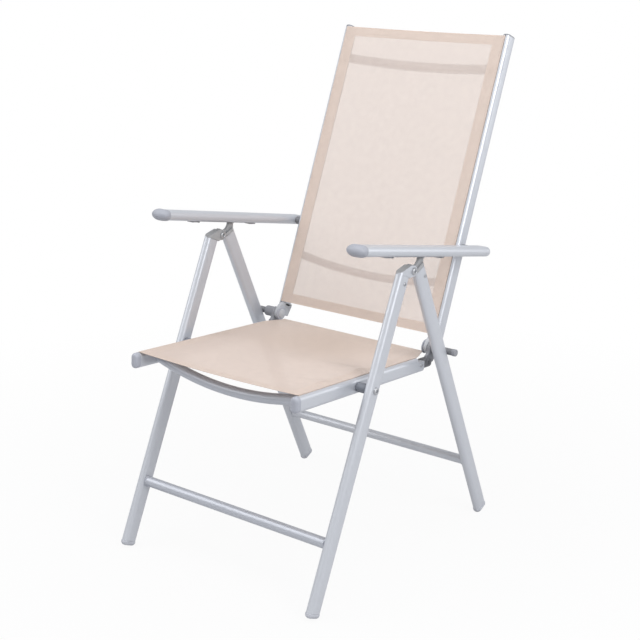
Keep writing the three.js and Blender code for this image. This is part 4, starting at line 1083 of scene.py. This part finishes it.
def bulb_rings(steps=33):
    """Egg-shaped cap: along its length the outline is scaled by an ellipse's arc from the tip to its
    widest place, and from there falls off by a parabola to the tube. Towards the tip the flat-oval
    outline becomes an ellipse."""
    share = np.linspace(0, 1, steps) ** BULB_CROWDING
    nose = np.sqrt(np.clip(1 - (1 - share / BULB_WIDEST) ** 2, 0, 1))
    neck = 1 - BULB_TUCK * ((share - BULB_WIDEST) / (1 - BULB_WIDEST)) ** 2
    scale = np.maximum(np.where(share < BULB_WIDEST, nose, neck), BULB_POINT)
    flat = oval_ring(ARM_WIDTH + 2 * BULB_LIP, ARM_HEIGHT + 2 * BULB_LIP, 0, 20)
    turn = np.linspace(0, np.pi, 20) - np.pi / 2
    side = np.column_stack([np.cos(turn), np.sin(turn)]) * flat.max(axis=0)
    ellipse = np.concatenate([side, -side])
    egg = eased((1 - share) / BULB_EGG)[:, None, None]
    outline = scale[:, None, None] * (flat + egg * (ellipse - flat))
    length = ARM_FRONT - FIT - ARM_TIP
    along = np.broadcast_to((ARM_TIP + length * share)[:, None, None], (steps, len(flat), 1))
    return np.concatenate([outline, along], axis=-1)


def slotted_tube():
    """The armrest's flat-oval outline carried along it. Between the rack's ends the middle of the
    underside is raised to a flat ceiling, so that the tube has a slot for the rack."""
    turn = np.linspace(math.asin((RACK_SLOT - ARM_FLAT) / ARM_ROUND), np.pi, 22)
    end = np.column_stack([ARM_FLAT + ARM_ROUND * np.sin(turn), -ARM_ROUND * np.cos(turn)])
    under = np.linspace(-1, 1, 15) * (RACK_SLOT - STEP)
    beyond = np.maximum(np.abs(under) - ARM_FLAT, 0)
    outside = np.concatenate([end, (end * [-1, 1])[::-1]])
    full = np.concatenate([outside, np.column_stack([under, -np.sqrt(ARM_ROUND ** 2 - beyond ** 2)])])
    raised = np.concatenate([outside, along_at(under[:, None], RACK_CEILING)])
    first = RACK_FRONT - FIT
    last = RACK_REAR + FIT
    in_front = [along_at(full, along) for along in (ARM_FRONT, first - STEP)]
    slot = [along_at(raised, along) for along in (first, last)]
    behind = [along_at(full, along) for along in (last + STEP, ARM_REAR)]
    return np.stack(in_front + slot + behind)


def on_arm(rings):
    """Lays a piece that was drawn upright along the left armrest."""
    return lengthwise(rings) + [LEG_PLANE, 0, 0]


bulb_grey = plastic("bulb_grey", (0.31, 0.323, 0.368), (0.372, 0.386, 0.435))
pair("arm_tube", [on_arm(slotted_tube())], silver_coat, "{}_armrest", "armrest")
pair("arm_bulb", [on_arm(bulb_rings())], bulb_grey, "{}_armrest", "armrest_front_cap")
rear_stations = [(ARM_REAR + FIT, 0)] + rounded_end(ARM_REAR_TIP, ARM_REAR_ROUND, 1)
arm_end = on_arm(oval_rings(ARM_WIDTH, ARM_HEIGHT, rear_stations))
pair("arm_end", [arm_end], silver_coat, "{}_armrest", "armrest_rear_cap")


# Armrest racks
# A moulded grey channel let into the underside of each armrest, with half-round notches for the horn's
# pin. A rounded tab with a screw holds it at each end.
PIN_ALONG = -0.2145
NOTCH_PITCH = 0.019
NOTCH_RADIUS = 0.0036
NOTCH_CREST = -0.0070
RACK_TOP = 0.001
RACK_DROP = -0.0106
RACK_END_WALL = 0.004
RACK_HALF = 0.0123
CHANNEL_HALF = 0.0103
HORN_ROOM_HALF = 0.0045
HORN_ROOM_TOP = -0.0037
TAB_TOP = -0.0101
TAB_LOW = -0.0133
TAB_HALF = 0.009
TAB_EDGE = 0.002
TAB_CORNER = 0.005
TABS = ((-0.345, -0.322), (-0.158, -0.134))
TAB_SCREW = 0.0032
TAB_SCREW_DOME = 0.00125
TAB_SCREW_FLAT = 0.02
TAB_SCREW_FALL = (-0.001, 0.0, 0.0004, 0.0009, 0.0012)


def rack_rings():
    """The rack as side outlines stacked across the armrest. The lower edge of each layer is a function of
    the place along it: straight in the two cheeks, a row of half circles in the channel, raised in the
    middle for the horn, and everywhere an end wall that goes down to the tabs."""
    along = np.linspace(RACK_FRONT, RACK_REAR, 357)
    from_notch = (along - PIN_ALONG + NOTCH_PITCH / 2) % NOTCH_PITCH - NOTCH_PITCH / 2
    scoop = np.sqrt(np.maximum(NOTCH_RADIUS ** 2 - from_notch ** 2, 0))
    clear = np.minimum(along - RACK_FRONT, RACK_REAR - along)
    ceiling = NOTCH_CREST + np.where(clear > RACK_END_WALL + NOTCH_RADIUS, scoop, 0)
    wall = clear < RACK_END_WALL
    channel = np.where(wall, TAB_LOW, ceiling)
    middle = np.where(wall, TAB_LOW, np.maximum(ceiling, HORN_ROOM_TOP))
    cheek = np.full(len(along), RACK_DROP)
    half = [(RACK_HALF, cheek), (CHANNEL_HALF + STEP, cheek), (CHANNEL_HALF, channel)]
    half += [(HORN_ROOM_HALF + STEP, channel), (HORN_ROOM_HALF, middle)]
    stack = [(-across, edge) for across, edge in half] + half[::-1]
    top = np.array([[RACK_REAR, RACK_TOP], [RACK_FRONT, RACK_TOP]])
    sides = [(across, np.concatenate([np.column_stack([along, edge]), top])) for across, edge in stack]
    return np.stack([across_at(side, across) for across, side in sides])


def rack_tab(low, high):
    """A tab under the armrest: a rectangle with round corners, stacked downwards and drawn in on a
    quarter circle."""
    wide = TAB_HALF - TAB_CORNER
    front = low + TAB_CORNER
    rear = high - TAB_CORNER
    corners = ((wide, rear, 0), (-wide, rear, 90), (-wide, front, 180), (wide, front, 270))
    outline = evened([arc((x, y), TAB_CORNER, turn, turn + 90, 8) for x, y, turn in corners], 48)
    stations = [(TAB_TOP, 0)] + rounded_end(TAB_LOW, TAB_EDGE, -1)
    return np.stack([along_at(drawn_in(outline, inset), height) for height, inset in stations])


def rack_screw(along):
    """A low domed screw head under a tab: circles about the tab's normal that close in on a quarter
    ellipse."""
    turn = np.linspace(0, 2 * np.pi, 20, endpoint=False)
    fall = np.array(TAB_SCREW_FALL)[:, None]
    reach = TAB_SCREW * np.sqrt(np.clip(1 - (np.maximum(fall, 0) / TAB_SCREW_DOME) ** 2, TAB_SCREW_FLAT, 1))
    height = TAB_LOW - fall + 0 * turn
    return np.stack([reach * np.cos(turn), reach * np.sin(turn) + along, height], axis=-1)


rack = [rack_rings()] + [rack_tab(*tab) for tab in TABS]
rack = [rings + [LEG_PLANE, 0, 0] for rings in rack]
pair("rack", rack, hub_grey, "{}_armrest", "armrest_rack")
rack_heads = [rack_screw((low + high) / 2) + [LEG_PLANE, 0, 0] for low, high in TABS]
pair("rack_screws", rack_heads, plated_steel, "{}_armrest")


# Floor and light
# A plain pale floor that runs out to white. A wide soft lamp stands on each side, a narrow one behind,
# and weak ones in front and overhead fill the shadows.
FLOOR_HALF = 30.0
FLOOR_COLOUR = (0.6, 0.6, 0.61, 1)
FLOOR_NEAR_WHITE = 0.93
FLOOR_FADE = (0.5, 1.6)
FLOOR_GLOSS = 0.4
SKY_COLOUR = (0.97, 0.98, 1.0, 1)
SKY_STRENGTH = 0.55
SKY_GLOSS = 0.2
LAMP_DISTANCE = 2.6
LAMP_TARGET = np.array([0, 0, 0.5])
LAMPS = (
    ("left_soft_light", -50, 38, 2.2, 2.2, 27),
    ("right_soft_light", 76, 32, 1.2, 1.5, 33),
    ("strip_behind", 140, 14, 0.3, 1.6, 6),
    ("front_fill", 5, 12, 2.0, 1.4, 2.5),
    ("top_fill", 20, 80, 2.0, 2.0, 25),
)


def white_to_view(tree, base, white, share, glossy):
    """Mixes white into a shader by one share for what the camera sees directly or through cloth, and by
    another for what it sees in gloss, and leaves the light that falls on the chair alone."""
    path = add_node(tree, "LightPath", {}).outputs
    shine = sum_of(tree, "MULTIPLY", path["Is Glossy Ray"], glossy)
    clear = sum_of(tree, "MAXIMUM", shine, path["Is Transmission Ray"])
    seen = sum_of(tree, "MAXIMUM", path["Is Camera Ray"], clear)
    part = sum_of(tree, "MULTIPLY", seen, share)
    return add_node(tree, "MixShader", {"Fac": part, 1: base, 2: white}).outputs["Shader"]


floor_mesh = bpy.data.meshes.new("floor")
floor_corners = [(x * FLOOR_HALF, y * FLOOR_HALF, 0) for x, y in ((-1, -1), (1, -1), (1, 1), (-1, 1))]
floor_mesh.from_pydata(floor_corners, [], [(0, 1, 2, 3)])
floor = bpy.data.objects.new("floor", floor_mesh)
bpy.context.scene.collection.objects.link(floor)
floor_paint, floor_tree, floor_surface = new_material("pale_floor")
wire(floor_tree, floor_surface, {"Base Color": FLOOR_COLOUR, "Roughness": 0.9})
floor_place = add_node(floor_tree, "TexCoord", {}).outputs["Object"]
floor_far = add_node(floor_tree, "VectorMath", {0: floor_place}, operation="LENGTH").outputs["Value"]
floor_share = mapped(floor_tree, floor_far, *FLOOR_FADE, FLOOR_NEAR_WHITE, 1.0)
floor_white = add_node(floor_tree, "Emission", {}).outputs["Emission"]
floor_seen = white_to_view(floor_tree, floor_surface.outputs["BSDF"], floor_white, floor_share, FLOOR_GLOSS)
wire(floor_tree, floor_tree.nodes["Material Output"], {"Surface": floor_seen})
floor_mesh.materials.append(floor_paint)

world = bpy.data.worlds.new("studio")
bpy.context.scene.world = world
world.use_nodes = True
world_tree = world.node_tree
sky = wire(world_tree, world_tree.nodes["Background"], {"Color": SKY_COLOUR, "Strength": SKY_STRENGTH})
white_sky = add_node(world_tree, "Background", {"Color": (1, 1, 1, 1)}).outputs["Background"]
sky_seen = white_to_view(world_tree, sky.outputs["Background"], white_sky, 1.0, SKY_GLOSS)
wire(world_tree, world_tree.nodes["World Output"], {"Surface": sky_seen})


def away(azimuth, elevation):
    """Unit direction from the chair to a place round it: azimuth 0 is in front, and 90 is on the sitter's
    left."""
    a = math.radians(azimuth)
    e = math.radians(elevation)
    return np.array([math.sin(a) * math.cos(e), -math.cos(a) * math.cos(e), math.sin(e)])


def aim(obj, place, target):
    """Puts a lamp or the camera at a place and turns it to look at a target, upright."""
    back = (place - target) / np.linalg.norm(place - target)
    right = np.cross([0.0, 0.0, 1.0], back)
    right /= np.linalg.norm(right)
    up = np.cross(back, right)
    turn = np.eye(4)
    turn[:3, :3] = np.column_stack([right, up, back])
    turn[:3, 3] = place
    obj.matrix_world = Matrix(turn.tolist())
    bpy.context.scene.collection.objects.link(obj)


for lamp_name, azimuth, elevation, width, height, power in LAMPS:
    lamp = bpy.data.lights.new(lamp_name, "AREA")
    lamp.shape = "RECTANGLE"
    lamp.size = width
    lamp.size_y = height
    lamp.energy = power
    lamp_place = LAMP_DISTANCE * away(azimuth, elevation) + LAMP_TARGET
    aim(bpy.data.objects.new(lamp_name, lamp), lamp_place, LAMP_TARGET)


# Camera
# It stands in front on the sitter's left, a little above the armrests, as the photograph was taken.
VIEW_AZIMUTH = 37.76
VIEW_ELEVATION = 17.07
VIEW_DISTANCE = 2.7679
VIEW_TARGET = np.array([-0.0007, -0.01514, 0.46797])
lens = bpy.data.cameras.new("camera")
lens.sensor_width = 36
lens.lens = 73.31
camera = bpy.data.objects.new("camera", lens)
aim(camera, VIEW_TARGET + VIEW_DISTANCE * away(VIEW_AZIMUTH, VIEW_ELEVATION), VIEW_TARGET)
bpy.context.scene.camera = camera
bpy.context.scene.view_settings.view_transform = "Standard"
